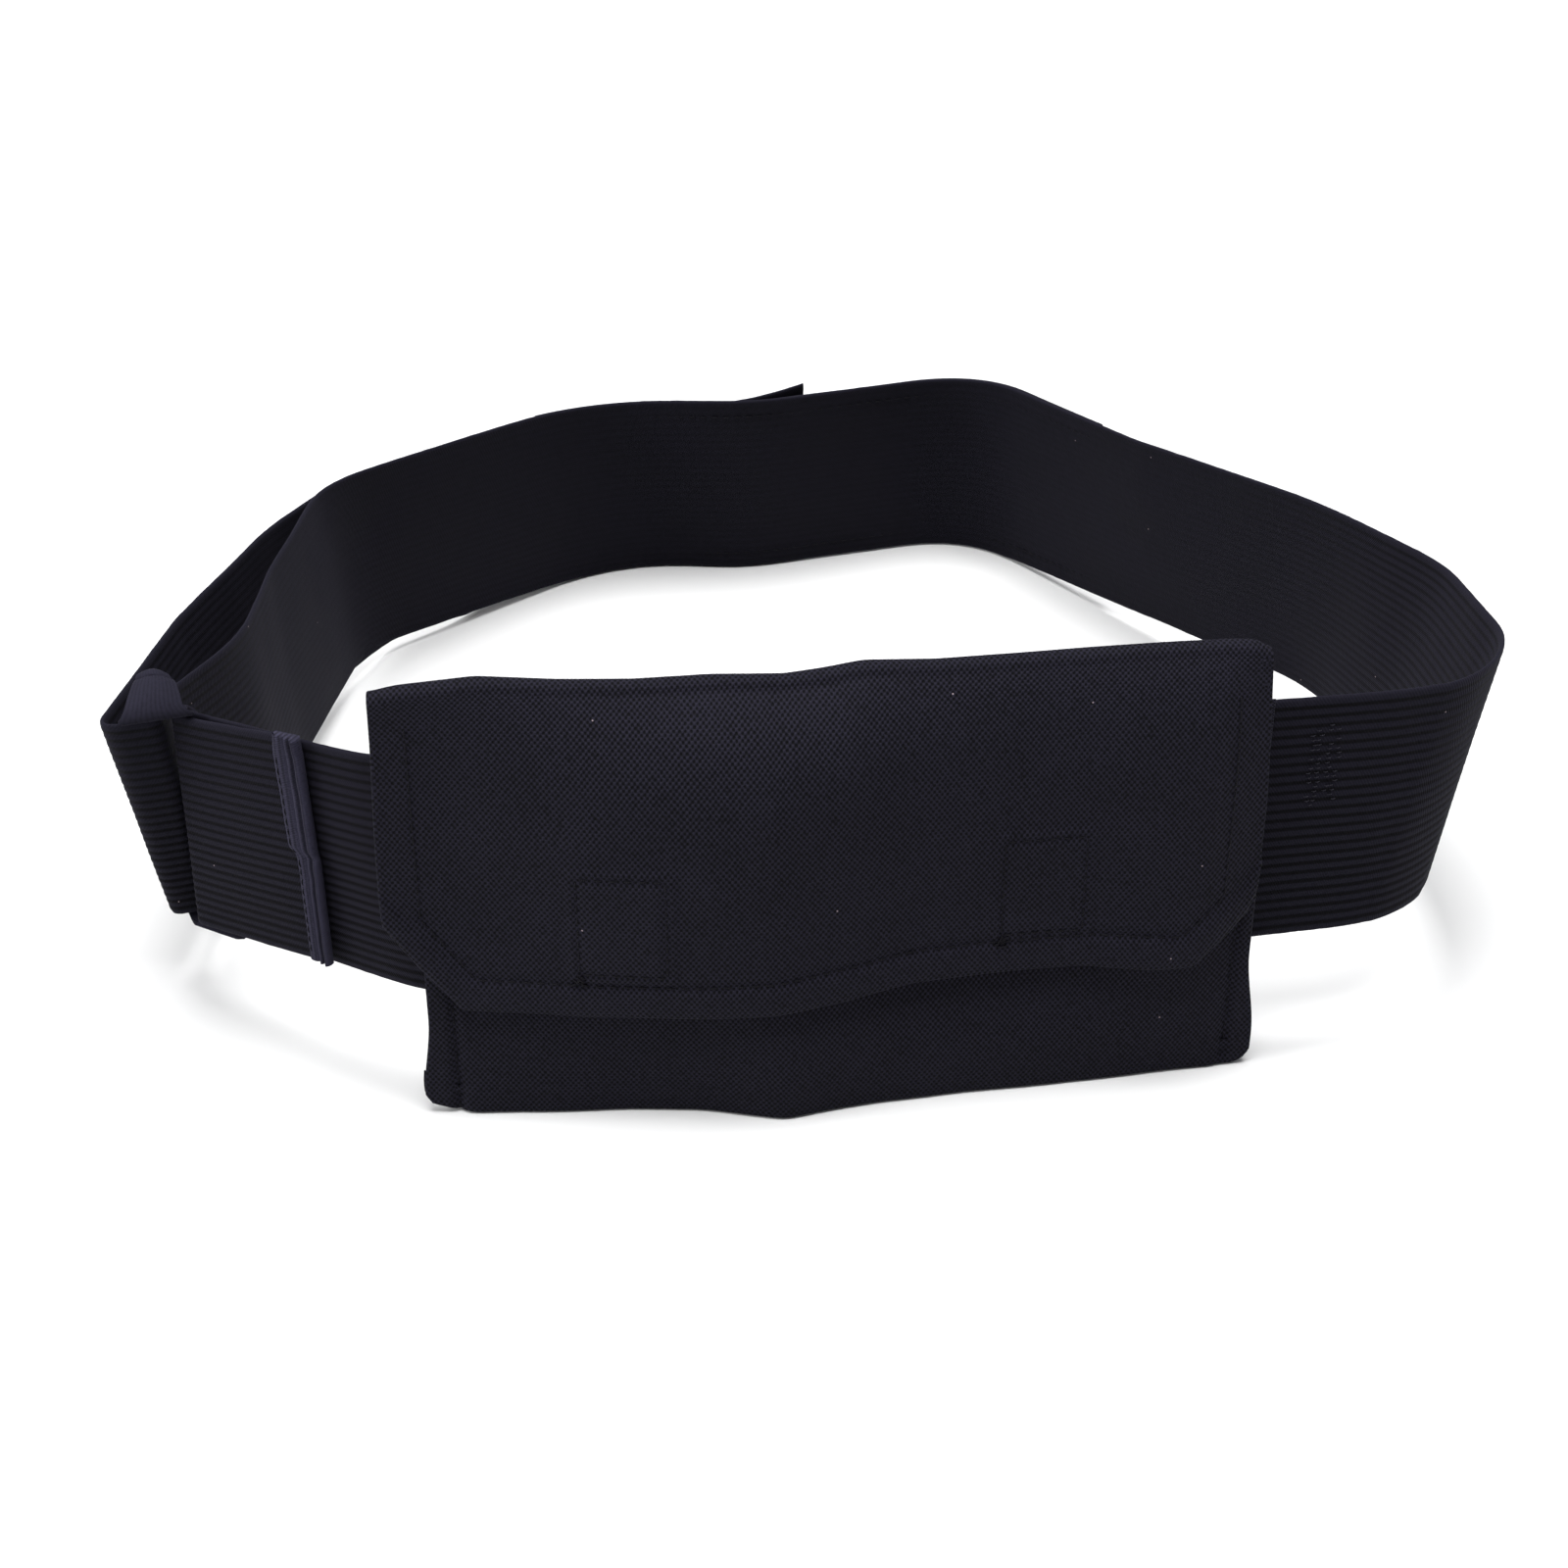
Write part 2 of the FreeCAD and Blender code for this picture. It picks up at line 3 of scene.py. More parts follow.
import bpy
import numpy as np
from mathutils import Matrix, Vector, noise


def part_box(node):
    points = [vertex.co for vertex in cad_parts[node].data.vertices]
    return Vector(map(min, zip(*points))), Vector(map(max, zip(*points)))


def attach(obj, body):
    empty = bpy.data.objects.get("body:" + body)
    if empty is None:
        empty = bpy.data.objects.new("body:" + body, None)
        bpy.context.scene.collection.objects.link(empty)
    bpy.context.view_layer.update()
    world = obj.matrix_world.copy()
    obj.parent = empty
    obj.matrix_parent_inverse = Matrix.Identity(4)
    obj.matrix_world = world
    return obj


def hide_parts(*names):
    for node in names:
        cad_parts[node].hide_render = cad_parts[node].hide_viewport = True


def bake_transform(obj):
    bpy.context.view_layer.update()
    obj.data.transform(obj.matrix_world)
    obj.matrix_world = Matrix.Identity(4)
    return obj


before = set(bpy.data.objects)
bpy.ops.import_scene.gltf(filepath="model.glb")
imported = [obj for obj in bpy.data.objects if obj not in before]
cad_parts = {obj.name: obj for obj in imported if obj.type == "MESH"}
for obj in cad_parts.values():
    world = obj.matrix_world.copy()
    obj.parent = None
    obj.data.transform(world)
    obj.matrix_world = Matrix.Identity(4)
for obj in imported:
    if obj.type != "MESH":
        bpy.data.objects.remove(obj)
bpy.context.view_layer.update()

MM = 0.001
BACK_PLANE = 6.0  # how far behind the front plane the back panel lies
panel_low, panel_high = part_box("back_panel")
ORIGIN = np.array([(panel_low[0] + panel_high[0]) / 2, panel_low[1] - BACK_PLANE * MM, 0.0])


def place(x, y, z):
    """A spot of this script, in metres in the shared frame."""
    return tuple(np.array([x, y, z]) * MM + ORIGIN)


# -------------------- mesh helpers

def show(name, data):
    """An object of the scene with a mesh, lamp or camera."""
    thing = bpy.data.objects.new(name, data)
    bpy.context.scene.collection.objects.link(thing)
    return thing


def add_mesh(name, points, faces, material, uvs=None):
    """A smooth-shaded object from points in millimetres, with a cloth map in millimetres."""
    mesh = bpy.data.meshes.new(name)
    mesh.from_pydata((np.asarray(points, float) * MM + ORIGIN).tolist(), [], faces)
    if uvs is not None:
        corners = np.empty(len(mesh.loops), np.int32)
        mesh.loops.foreach_get("vertex_index", corners)
        layer = mesh.uv_layers.new(name="cloth")
        layer.data.foreach_set("uv", (np.asarray(uvs, float)[corners] * MM).ravel())
    mesh.polygons.foreach_set("use_smooth", [True] * len(mesh.polygons))
    mesh.materials.append(material)
    mesh.update()
    return show(name, mesh)


def ring_faces(near, far):
    """Faces between two closed rings of point numbers."""
    return list(zip(near, near[1:] + near[:1], far[1:] + far[:1], far))


def tube_faces(rings, around, closed=False):
    """Faces between rings of points; open ends are closed across the flat outline."""
    numbers = np.arange(rings * around).reshape(rings, around).tolist()
    faces = []
    for near, far in zip(numbers, numbers[1:] + (numbers[:1] if closed else [])):
        faces += ring_faces(near, far)
    if not closed:
        first, last = numbers[0], numbers[-1]
        for spot in range(around // 2 - 1):
            faces.append((first[spot], first[-1 - spot], first[-2 - spot], first[spot + 1]))
            faces.append((last[spot], last[spot + 1], last[-2 - spot], last[-1 - spot]))
    return faces


def unit(vectors):
    """Vectors scaled to length one."""
    vectors = np.asarray(vectors, float)
    return vectors / np.maximum(np.linalg.norm(vectors, axis=-1, keepdims=True), 1e-9)


def grid_normals(grid):
    """Unit normals of a grid of points (rows, columns, 3): rows run along, columns across."""
    along = np.gradient(grid, axis=0)
    across = np.gradient(grid, axis=1)
    return unit(np.cross(along, across))


def ease(value, low, high):
    """A smooth step from 0 to 1."""
    share = np.clip((np.asarray(value, float) - low) / (high - low), 0, 1)
    return share * share * (3 - 2 * share)


def waves(u, v, seed, size):
    """Smooth wandering from about -1 to 1 over a cloth, one hill per size."""
    spots = np.stack(np.broadcast_arrays(np.asarray(u, float) / size, np.asarray(v, float) / size), -1)
    flat = spots.reshape(-1, 2)
    heights = [noise.noise(Vector((spot[0], spot[1], seed * 7.3))) for spot in flat]
    return np.array(heights).reshape(spots.shape[:-1])


def shell(name, outer, thickness, material, uvs, rim=2):
    """A closed cloth panel: an outer grid, an inner one behind it, and a rounded rim between."""
    rows, columns = outer.shape[:2]
    inner = outer - grid_normals(outer) * thickness
    outer_flat, inner_flat = outer.reshape(-1, 3), inner.reshape(-1, 3)
    points = list(outer_flat) + list(inner_flat)
    maps = list(uvs.reshape(-1, 2)) * 2
    count = rows * columns
    numbers = np.arange(count).reshape(rows, columns)
    corners = [numbers[:-1, :-1], numbers[1:, :-1], numbers[1:, 1:], numbers[:-1, 1:]]
    quads = np.stack(corners, -1).reshape(-1, 4)
    faces = np.stack([quads, quads[:, [0, 3, 2, 1]] + count], 1).reshape(-1, 4).tolist()
    border = [*numbers[0], *numbers[1:, -1], *numbers[-1, -2::-1], *numbers[-2:0:-1, 0]]
    edge = outer_flat[border]
    depth = (edge - inner_flat[border]) / 2
    aside = unit(np.cross(np.roll(edge, -1, 0) - np.roll(edge, 1, 0), depth))
    inwards = (aside * (edge - outer_flat.mean(axis=0))).sum(axis=1) < 0
    aside[inwards] *= -1
    rings = [border]
    for step in range(1, rim + 1):
        angle = math.pi * step / (rim + 1)
        rings.append(list(range(len(points), len(points) + len(border))))
        points += list(edge - depth + depth * math.cos(angle) + aside * (thickness / 2) * math.sin(angle))
        maps += [maps[spot] for spot in border]
    rings.append([count + spot for spot in border])
    for near, far in zip(rings, rings[1:]):
        faces += ring_faces(near, far)
    return add_mesh(name, points, faces, material, maps)


def stitch_mesh(name, places, length, thickness, material):
    """Separate sewn stitches: each a short thread that dips into the cloth at both ends."""
    sections, around = 6, 5
    points, faces, maps = [], [], []
    for spot, direction, outward in places:
        direction, outward = unit(direction), unit(outward)
        aside = np.cross(outward, direction)
        rings = []
        for section in range(sections):
            share = section / (sections - 1)
            rise = math.sin(math.pi * share)
            middle = spot + direction * (share - 0.5) * length + outward * thickness * (0.75 * rise - 0.25)
            radius = thickness * (0.28 + 0.22 * rise)
            rings.append(list(range(len(points), len(points) + around)))
            for turn in range(around):
                angle = 2 * math.pi * turn / around
                points.append(middle + (aside * math.cos(angle) + outward * math.sin(angle)) * radius)
                maps.append((share * length, turn * 0.2))
        for near, far in zip(rings, rings[1:]):
            faces += ring_faces(near, far)
        faces += [rings[0][::-1], rings[-1]]
    return add_mesh(name, points, faces, material, maps)


# -------------------- materials

SPECULAR, SHEEN_ROUGHNESS, SHEEN_TINT = 0.06, 0.55, (0.55, 0.52, 0.72, 1)


class Graph:
    """A material's nodes, written as short calls."""

    def __init__(self, name):
        self.material = bpy.data.materials.new(name)
        self.material.use_nodes = True
        self.nodes = self.material.node_tree.nodes
        self.links = self.material.node_tree.links
        self.shader = self.nodes["Principled BSDF"]

    def feed(self, socket, value):
        """Set a socket to a number or colour, or link another node's output to it."""
        if isinstance(value, bpy.types.NodeSocket):
            self.links.new(value, socket)
        else:
            socket.default_value = value

    def node(self, kind, values=(), **settings):
        """A new node with its settings, and its inputs fed in order or by their names."""
        node = self.nodes.new(kind)
        for name, setting in settings.items():
            setattr(node, name, setting)
        named = values if isinstance(values, dict) else dict(enumerate(values))
        for name, value in named.items():
            self.feed(node.inputs[name], value)
        return node

    def math(self, kind, first, second=0.0, third=0.0):
        """One arithmetic node."""
        return self.node("ShaderNodeMath", (first, second, third), operation=kind).outputs[0]

    def scaled(self, value, factor, added=0.0):
        """A value times a factor, with something added."""
        return self.math("MULTIPLY_ADD", value, factor, added)

    def ramp(self, value, low, high, out_low=0.0, out_high=1.0):
        """A smooth step of a value from one range to another."""
        values = (value, low, high, out_low, out_high)
        return self.node("ShaderNodeMapRange", values, interpolation_type="SMOOTHSTEP").outputs[0]

    def blend(self, share, first, second):
        """A mix of two colours."""
        return self.node("ShaderNodeMix", {0: share, 6: first, 7: second}, data_type="RGBA").outputs[2]

    def shaded(self, light, *patterns):
        """A brightness multiplied by pattern x contrast + base for each (pattern, contrast, base)."""
        for pattern in patterns:
            light = self.math("MULTIPLY", light, self.scaled(*pattern))
        return light

    def cloth_map(self):
        """The place on the cloth, in metres."""
        return self.node("ShaderNodeUVMap", uv_map="cloth").outputs[0]

    def space(self):
        """The place in the shared frame, in metres."""
        return self.node("ShaderNodeTexCoord").outputs["Object"]

    def cloth(self):
        """The place on the cloth in millimetres: along and across."""
        split = self.node("ShaderNodeSeparateXYZ", [self.cloth_map()])
        return [self.math("MULTIPLY", split.outputs[axis], 1 / MM) for axis in (0, 1)]

    def depth_place(self):
        """How far back a spot lies, in metres in the shared frame."""
        return self.node("ShaderNodeSeparateXYZ", [self.space()]).outputs[1]

    def noise(self, size, detail=2.0, roughness=0.5):
        """Cloudy variation in space, one cloud per size in millimetres."""
        values = {"Vector": self.space(), "Scale": 1 / (size * MM), "Detail": detail, "Roughness": roughness}
        return self.node("ShaderNodeTexNoise", values).outputs["Fac"]

    def specks(self, spacing, size=0.22, shown=0.72):
        """Small spots of lint, 1 on a spot and 0 elsewhere: cells that draw less than shown have none."""
        values = {"Vector": self.cloth_map(), "Scale": 1 / (spacing * MM)}
        cells = self.node("ShaderNodeTexVoronoi", values, voronoi_dimensions="2D")
        near = self.ramp(cells.outputs["Distance"], size / spacing * 0.5, size / spacing, 1.0, 0.0)
        split = self.node("ShaderNodeSeparateColor", [cells.outputs["Color"]])
        return self.math("MULTIPLY", near, self.math("GREATER_THAN", split.outputs[0], shown))

    def wave(self, value, period):
        """A sine from 0 to 1 along a value."""
        return self.scaled(self.math("SINE", self.scaled(value, 2 * math.pi / period)), 0.5, 0.5)

    def finish(self, colour, roughness, height, depth, sheen=0.02):
        """Connect colour, roughness and relief in millimetres to the shader."""
        bump = self.node("ShaderNodeBump", {"Strength": 1.0, "Distance": depth * MM, "Height": height})
        looks = {"Base Color": colour, "Roughness": roughness, "Specular IOR Level": SPECULAR,
                 "Sheen Weight": sheen, "Sheen Roughness": SHEEN_ROUGHNESS, "Sheen Tint": SHEEN_TINT,
                 "Normal": bump.outputs[0]}
        for name, value in looks.items():
            self.feed(self.shader.inputs[name], value)
        return self.material


def colour(red, green, blue, gain=1.0):
    """A linear colour."""
    return (red * gain, green * gain, blue * gain, 1.0)


BELT_WIDTH, RIBS = 60.0, 26
LINT = colour(0.24, 0.19, 0.21)
SEWN_FROM, SEWN_TO, SEWN_FLAT = -0.07, 0.05, 0.85
FINE_PITCH, FINE_LEAN = 0.62, 0.55


def elastic_material(name, gain, rib_pitch, groove=0.12, width=None):
    """Ribbed elastic: ribs with a painted highlight on each crest and painted shade in the dark grooves
    between, crossed by fine threads, and a painted highlight along both edges.

    The ribs are pulled flat where the elastic is sewn to its tape at the back, and there the painted crest
    highlights and groove shade show less, fading towards an even middle tone.
    """
    graph = Graph(name)
    along, across = graph.cloth()
    # Painted light and shade: the rib profile colours each crest light and each groove dark, down to the
    # groove share at the darkest.
    rib = graph.math("ABSOLUTE", graph.math("SINE", graph.math("MULTIPLY", across, math.pi / rib_pitch)))
    crest = graph.ramp(rib, 0.3, 0.95)
    # Where the ribs are sewn flat, the painted crest highlights and groove shade fade to an even middle tone.
    flattened = graph.ramp(graph.depth_place(), SEWN_FROM, SEWN_TO, 0.0, SEWN_FLAT)
    crest = graph.math("ADD", graph.math("MULTIPLY", crest, graph.math("SUBTRACT", 1.0, flattened)),
                       graph.math("MULTIPLY", flattened, 0.5))
    thread = graph.wave(graph.scaled(across, FINE_LEAN, along), FINE_PITCH)
    cloud, grain = graph.noise(22, 3), graph.noise(0.9, 2, 0.6)
    light = graph.scaled(crest, 1 - groove, groove)
    light = graph.shaded(light, (thread, 0.4, 0.8), (cloud, 0.5, 0.75), (grain, 0.8, 0.6))
    # Painted highlight: a pale line along both edges of the elastic, where light catches its selvages.
    if width:
        from_middle = graph.math("ABSOLUTE", graph.math("SUBTRACT", across, width / 2))
        light = graph.math("ADD", light, graph.ramp(from_middle, width / 2 - 0.9, width / 2 - 0.3, 0.0, 0.9))
    # The dark colour stands for painted shade in the grooves, the pale blue one for painted highlights on the
    # crests.
    base = graph.blend(light, colour(0.0008, 0.0008, 0.0009, gain), colour(0.0165, 0.0155, 0.0262, gain))
    base = graph.blend(graph.specks(32), base, LINT)
    height = graph.scaled(thread, 0.35, graph.math("MULTIPLY", grain, 0.5))
    return graph.finish(base, graph.scaled(cloud, 0.2, 0.75), height, 0.16)


def weave_material(name, gain, warp_pitch=1.17, weft_pitch=1.5, lint=True):
    """Oxford cloth: a small basket weave, a little uneven, with faint clouds and stray lint; the weave's
    knuckles carry painted highlights and the hollows between them painted shade.
    """
    graph = Graph(name)
    along, across = graph.cloth()
    warp = graph.wave(graph.scaled(graph.noise(6), 0.6, along), warp_pitch)
    weft = graph.wave(across, weft_pitch)
    checker = graph.math("MULTIPLY", graph.math("SUBTRACT", warp, 0.5), graph.math("SUBTRACT", weft, 0.5))
    knuckle = graph.scaled(checker, 2.0, 0.5)
    cloud, slub = graph.noise(18, 4), graph.noise(1.1, 4, 0.75)
    # Painted light and shade: each knuckle where the threads cross is coloured light, the hollows between
    # dark.
    light = graph.scaled(graph.ramp(knuckle, 0.15, 1.0), 1.5, 0.08)
    light = graph.shaded(light, (slub, 3.6, -0.8), (cloud, 0.8, 0.6))
    # The dark colour stands for painted shade between the threads, the pale blue one for painted highlights
    # on the knuckles.
    base = graph.blend(light, colour(0.0016, 0.0015, 0.0020, gain), colour(0.0222, 0.0208, 0.0345, gain))
    if lint:
        base = graph.blend(graph.specks(25), base, LINT)
    height = graph.scaled(slub, 0.45, knuckle)
    return graph.finish(base, graph.scaled(slub, 0.2, 0.68), height, 0.22, sheen=0.006)


def pile_material(name, gain, size):
    """Brushed loops or stiff hooks of a fastening tape."""
    graph = Graph(name)
    fibre = graph.noise(size, 4, 0.75)
    rows = graph.wave(graph.cloth()[1], 1.3)
    light = graph.shaded(fibre, (rows, 0.35, 0.75))
    base = graph.blend(light, colour(0.001, 0.001, 0.0014, gain), colour(0.020, 0.019, 0.027, gain))
    return graph.finish(base, 0.92, graph.scaled(rows, 0.3, fibre), 0.5, sheen=0.03)


def thread_material(name, gain):
    """Twisted sewing thread."""
    graph = Graph(name)
    along, across = graph.cloth()
    twist = graph.wave(graph.scaled(across, 0.5, along), 0.4)
    base = graph.blend(twist, colour(0.004, 0.004, 0.005, gain), colour(0.014, 0.013, 0.018, gain))
    return graph.finish(base, 0.6, twist, 0.05, sheen=0.01)


ELASTIC = elastic_material("ribbed_elastic", 0.46, BELT_WIDTH / RIBS, width=BELT_WIDTH)
KEEPER_ELASTIC = elastic_material("keeper_elastic", 0.78, 1.25, 0.7)
HEM_ELASTIC = elastic_material("hem_elastic", 1.55, 1.1, 0.5)
CLOTH = weave_material("pouch_cloth", 0.5)
LINING = weave_material("lining_cloth", 0.7, 0.7, 0.7, False)
LOOP_TAPE = pile_material("loop_tape", 0.9, 0.6)
HOOK_TAPE = pile_material("hook_tape", 1.1, 0.35)
THREAD = thread_material("thread", 0.55)
PALE_THREAD = thread_material("pale_thread", 2.2)


# -------------------- the belt's course

LIFT, SLOPE, TILT, BELT_LINE = 24.5, 0.098, 0.014, 9.5
FLOOR_GAP = 0.25
STEP = 2.0

# The belt's two edges seen from above, corner by corner along the elastic from its hemmed end:
# top edge x and y, lower edge x and y, and how widely the corner is rounded
COURSE = [
    (-110.1, 20.0, -109.9, 26.4, 0),
    (-138.4, 38.4, -140.8, 49.9, 1.5), (-137.2, 41.4, -139.0, 52.9, 1.5),
    (-94.5, 9.7, -86.5, 10.0, 22),
    (84.0, 9.6, 90.0, 9.5, 60),
    (133.0, 11.3, 122.0, 12.3, 31), (152.3, 32.5, 140.8, 27.0, 40),
    (154.2, 82.0, 149.5, 100.0, 60), (138.8, 130.5, 146.0, 146.0, 110), (105.0, 188.5, 117.0, 199.0, 120),
    (73.0, 259.4, 74.5, 272.4, 28),
    (3.0, 239.0, 3.0, 257.5, 45), (-43.0, 248.0, -36.0, 265.5, 55), (-115.0, 183.5, -110.0, 208.0, 40),
    (-124.5, 120.0, -123.0, 136.0, 70), (-127.5, 80.0, -124.5, 96.0, 60),
    (-140.4, 52.0, -137.8, 68.0, 12), (-141.2, 36.4, -139.6, 56.6, 3.0),
    (-153.6, 33.9, -148.0, 54.4, 3.4), (-143.5, 92.0, -138.0, 106.0, 80),
    (-121.6, 168.5, -121.5, 178.0, 40),
]
# Past its last corner the elastic lies behind the back run, this far outside it, up to the tail's root
OUTER_OFFSET, CLOSE_OFFSET = 5.2, 1.9
OUTER_FROM, CLOSE_TO, TAIL_ROOT_X, TAIL_END_X = -112.0, -92.0, -76.0, 24.0
FIRST_PASS = 0.8  # share of the course before it comes back through the keeper
BACK_FROM_TOP, BACK_FROM_LOW = 150.0, 180.0
EASED_SAMPLES, SHARP_TURN = 9, 0.45
CROSSOVER_SAMPLES, DROP_SAMPLES, HEM_SAMPLES = 14, 12, 14


def rounded(course):
    """Both edges of a band through its corners, as rows (top x, top y, lower x, lower y)."""
    spots = np.array([corner[:4] for corner in course], float)
    middle = (spots[:, :2] + spots[:, 2:]) / 2
    legs = np.diff(middle, axis=0)
    lengths = np.linalg.norm(legs, axis=1)
    headings = legs / lengths[:, None]
    reaches = np.zeros(len(course))
    for index in range(1, len(course) - 1):
        cross = headings[index - 1, 0] * headings[index, 1] - headings[index - 1, 1] * headings[index, 0]
        turn = abs(math.atan2(cross, headings[index - 1] @ headings[index]))
        reaches[index] = course[index][4] * math.tan(turn / 2)
    fit = np.minimum(1, 0.98 * lengths / np.maximum(reaches[:-1] + reaches[1:], 1e-9))
    line = [spots[0]]

    def straight_to(end):
        start = line[-1]
        count = max(1, round(np.linalg.norm((end[:2] + end[2:] - start[:2] - start[2:]) / 2) / STEP))
        line.extend(start + (end - start) * share for share in np.linspace(0, 1, count + 1)[1:])

    for index in range(1, len(course) - 1):
        before = reaches[index] * fit[index - 1] / lengths[index - 1]
        after = reaches[index] * fit[index] / lengths[index]
        enter = spots[index] + (spots[index - 1] - spots[index]) * before
        leave = spots[index] + (spots[index + 1] - spots[index]) * after
        straight_to(enter)
        arc = (before * lengths[index - 1] + after * lengths[index]) * 0.85
        for share in np.linspace(0, 1, max(6, round(arc / STEP)) + 1)[1:]:
            line.append(enter * (1 - share) ** 2 + spots[index] * 2 * share * (1 - share)
                        + leave * share ** 2)
    straight_to(spots[-1])
    return np.array(line)


def plan_normals(edge):
    """Unit vectors to the right of travel of a plan line."""
    heading = unit(np.gradient(edge, axis=0))
    return np.stack([heading[:, 1], -heading[:, 0]], -1)


def moved(line, distance):
    """Both edges of a band moved sideways, to the right of travel."""
    return np.hstack([line[:, :2] + plan_normals(line[:, :2]) * distance,
                      line[:, 2:] + plan_normals(line[:, 2:]) * distance])


def softened(line, width):
    """A line with its roundness eased over a few samples, its ends kept."""
    kernel = np.hanning(width + 2)[1:-1]
    padded = np.pad(line, ((width // 2, width // 2), (0, 0)), mode="edge")
    return np.stack([np.convolve(column, kernel / kernel.sum(), "valid") for column in padded.T], -1)


def edge_heights(line):
    """Heights of a band's top and lower edge: both edges lie in planes that lean down to the back."""
    front = np.clip(1 - (line[:, 1] - BELT_LINE) / 200, 0, 1)
    top = LIFT + BELT_WIDTH - SLOPE * (line[:, 1] - BELT_LINE) + TILT * line[:, 0] * front
    low = LIFT - SLOPE * (line[:, 3] - BELT_LINE) + TILT * line[:, 2] * front
    return top, np.maximum(low, FLOOR_GAP)


def lengthwise(line):
    """Distance along a band's middle at each of its samples."""
    middle = (line[:, :2] + line[:, 2:]) / 2
    return np.concatenate([[0], np.cumsum(np.linalg.norm(np.diff(middle, axis=0), axis=1))])


main_line = rounded(COURSE)
first_pass = main_line[:int(len(main_line) * FIRST_PASS)]
back_run = [spot for spot in range(len(first_pass))
            if first_pass[spot, 1] > BACK_FROM_TOP and first_pass[spot, 3] > BACK_FROM_LOW
            and OUTER_FROM < first_pass[spot, 0] < TAIL_END_X]
behind = main_line[back_run][::-1]
outer_offset = CLOSE_OFFSET + (OUTER_OFFSET - CLOSE_OFFSET) * ease(behind[:, 0], CLOSE_TO, TAIL_ROOT_X - 2)
outward_step = (moved(main_line, 1) - main_line)[back_run][::-1]
joined = np.vstack([main_line[:-4], behind + outward_step * outer_offset[:, None]])
bends = np.gradient(np.gradient((joined[:, :2] + joined[:, 2:]) / 2, axis=0), axis=0)
keep_sharp = np.convolve(np.hypot(*bends.T) > SHARP_TURN, np.ones(EASED_SAMPLES), "same") > 0
crossover = len(main_line) - CROSSOVER_SAMPLES
keep_sharp[crossover:] = False
whole_line = np.where(keep_sharp[:, None], joined, softened(joined, EASED_SAMPLES))
tail_root = max(spot for spot in range(len(whole_line)) if whole_line[spot, 0] < TAIL_ROOT_X)

# The outer layer hangs lower the further it stands behind the back run; the hemmed end sits a little higher
DROP_SHARE, HEM_RISE = 0.64, 0.9
TAIL_RISE, TAIL_RISE_FROM = 6.2, -18.0
order = np.arange(len(whole_line))
outer_part = ease(order, crossover, crossover + DROP_SAMPLES)
drop = np.concatenate([np.full(len(whole_line) - len(outer_offset), CLOSE_OFFSET), outer_offset])
tail_end = np.clip((whole_line[:, 0] - TAIL_RISE_FROM) / (TAIL_END_X - TAIL_RISE_FROM), 0, 1) ** 1.5
lift = TAIL_RISE * tail_end * (outer_part >= 1) - DROP_SHARE * drop * outer_part
lift = lift + HEM_RISE * np.clip(1 - order / HEM_SAMPLES, 0, 1)
belt_line, belt_lift = whole_line[:tail_root + 1], lift[:tail_root + 1]
tail_line, tail_lift = whole_line[tail_root:], lift[tail_root:]

RIB_SAMPLES, PLAIN_SAMPLES = 5, 24
THICKNESS, RIB_DEPTH, SELVAGE, EDGE_ROUND = 1.1, 0.26, 0.7, 0.85
RIPPLE, PICOT = 0.35, 0.12


def band_edges(line, lifted=0.0, floor=-math.inf):
    """A band's top and lower edge in space, the lower one no lower than a floor."""
    top_height, low_height = edge_heights(line)
    return (np.column_stack([line[:, :2], top_height + lifted]),
            np.column_stack([line[:, 2:], np.maximum(low_height + lifted, floor)]))


def band_outline(ribbed, thickness):
    """A band's cross-section: places (across from 0 at the lower edge to 1, offset to the right)."""
    half = thickness / 2
    count = RIBS * RIB_SAMPLES if ribbed else PLAIN_SAMPLES
    selvage = SELVAGE / BELT_WIDTH
    face = []
    for step in range(count + 1):
        share = step / count
        rise = (abs(math.sin(math.pi * share * RIBS)) ** 0.8 / 2 - 0.25) * RIB_DEPTH if ribbed else 0
        face.append((selvage + share * (1 - 2 * selvage), half + rise))
    for eighth in (1, 2, 3):
        angle = math.pi * eighth / 4
        face.append((1 - selvage + selvage * math.sin(angle), half * EDGE_ROUND * math.cos(angle)))
    face = np.array(face)
    back = face[:count + 1][::-1] * (1, -1)
    below = (1, 0) - face[count + 1:]
    return np.vstack([face, back, below])


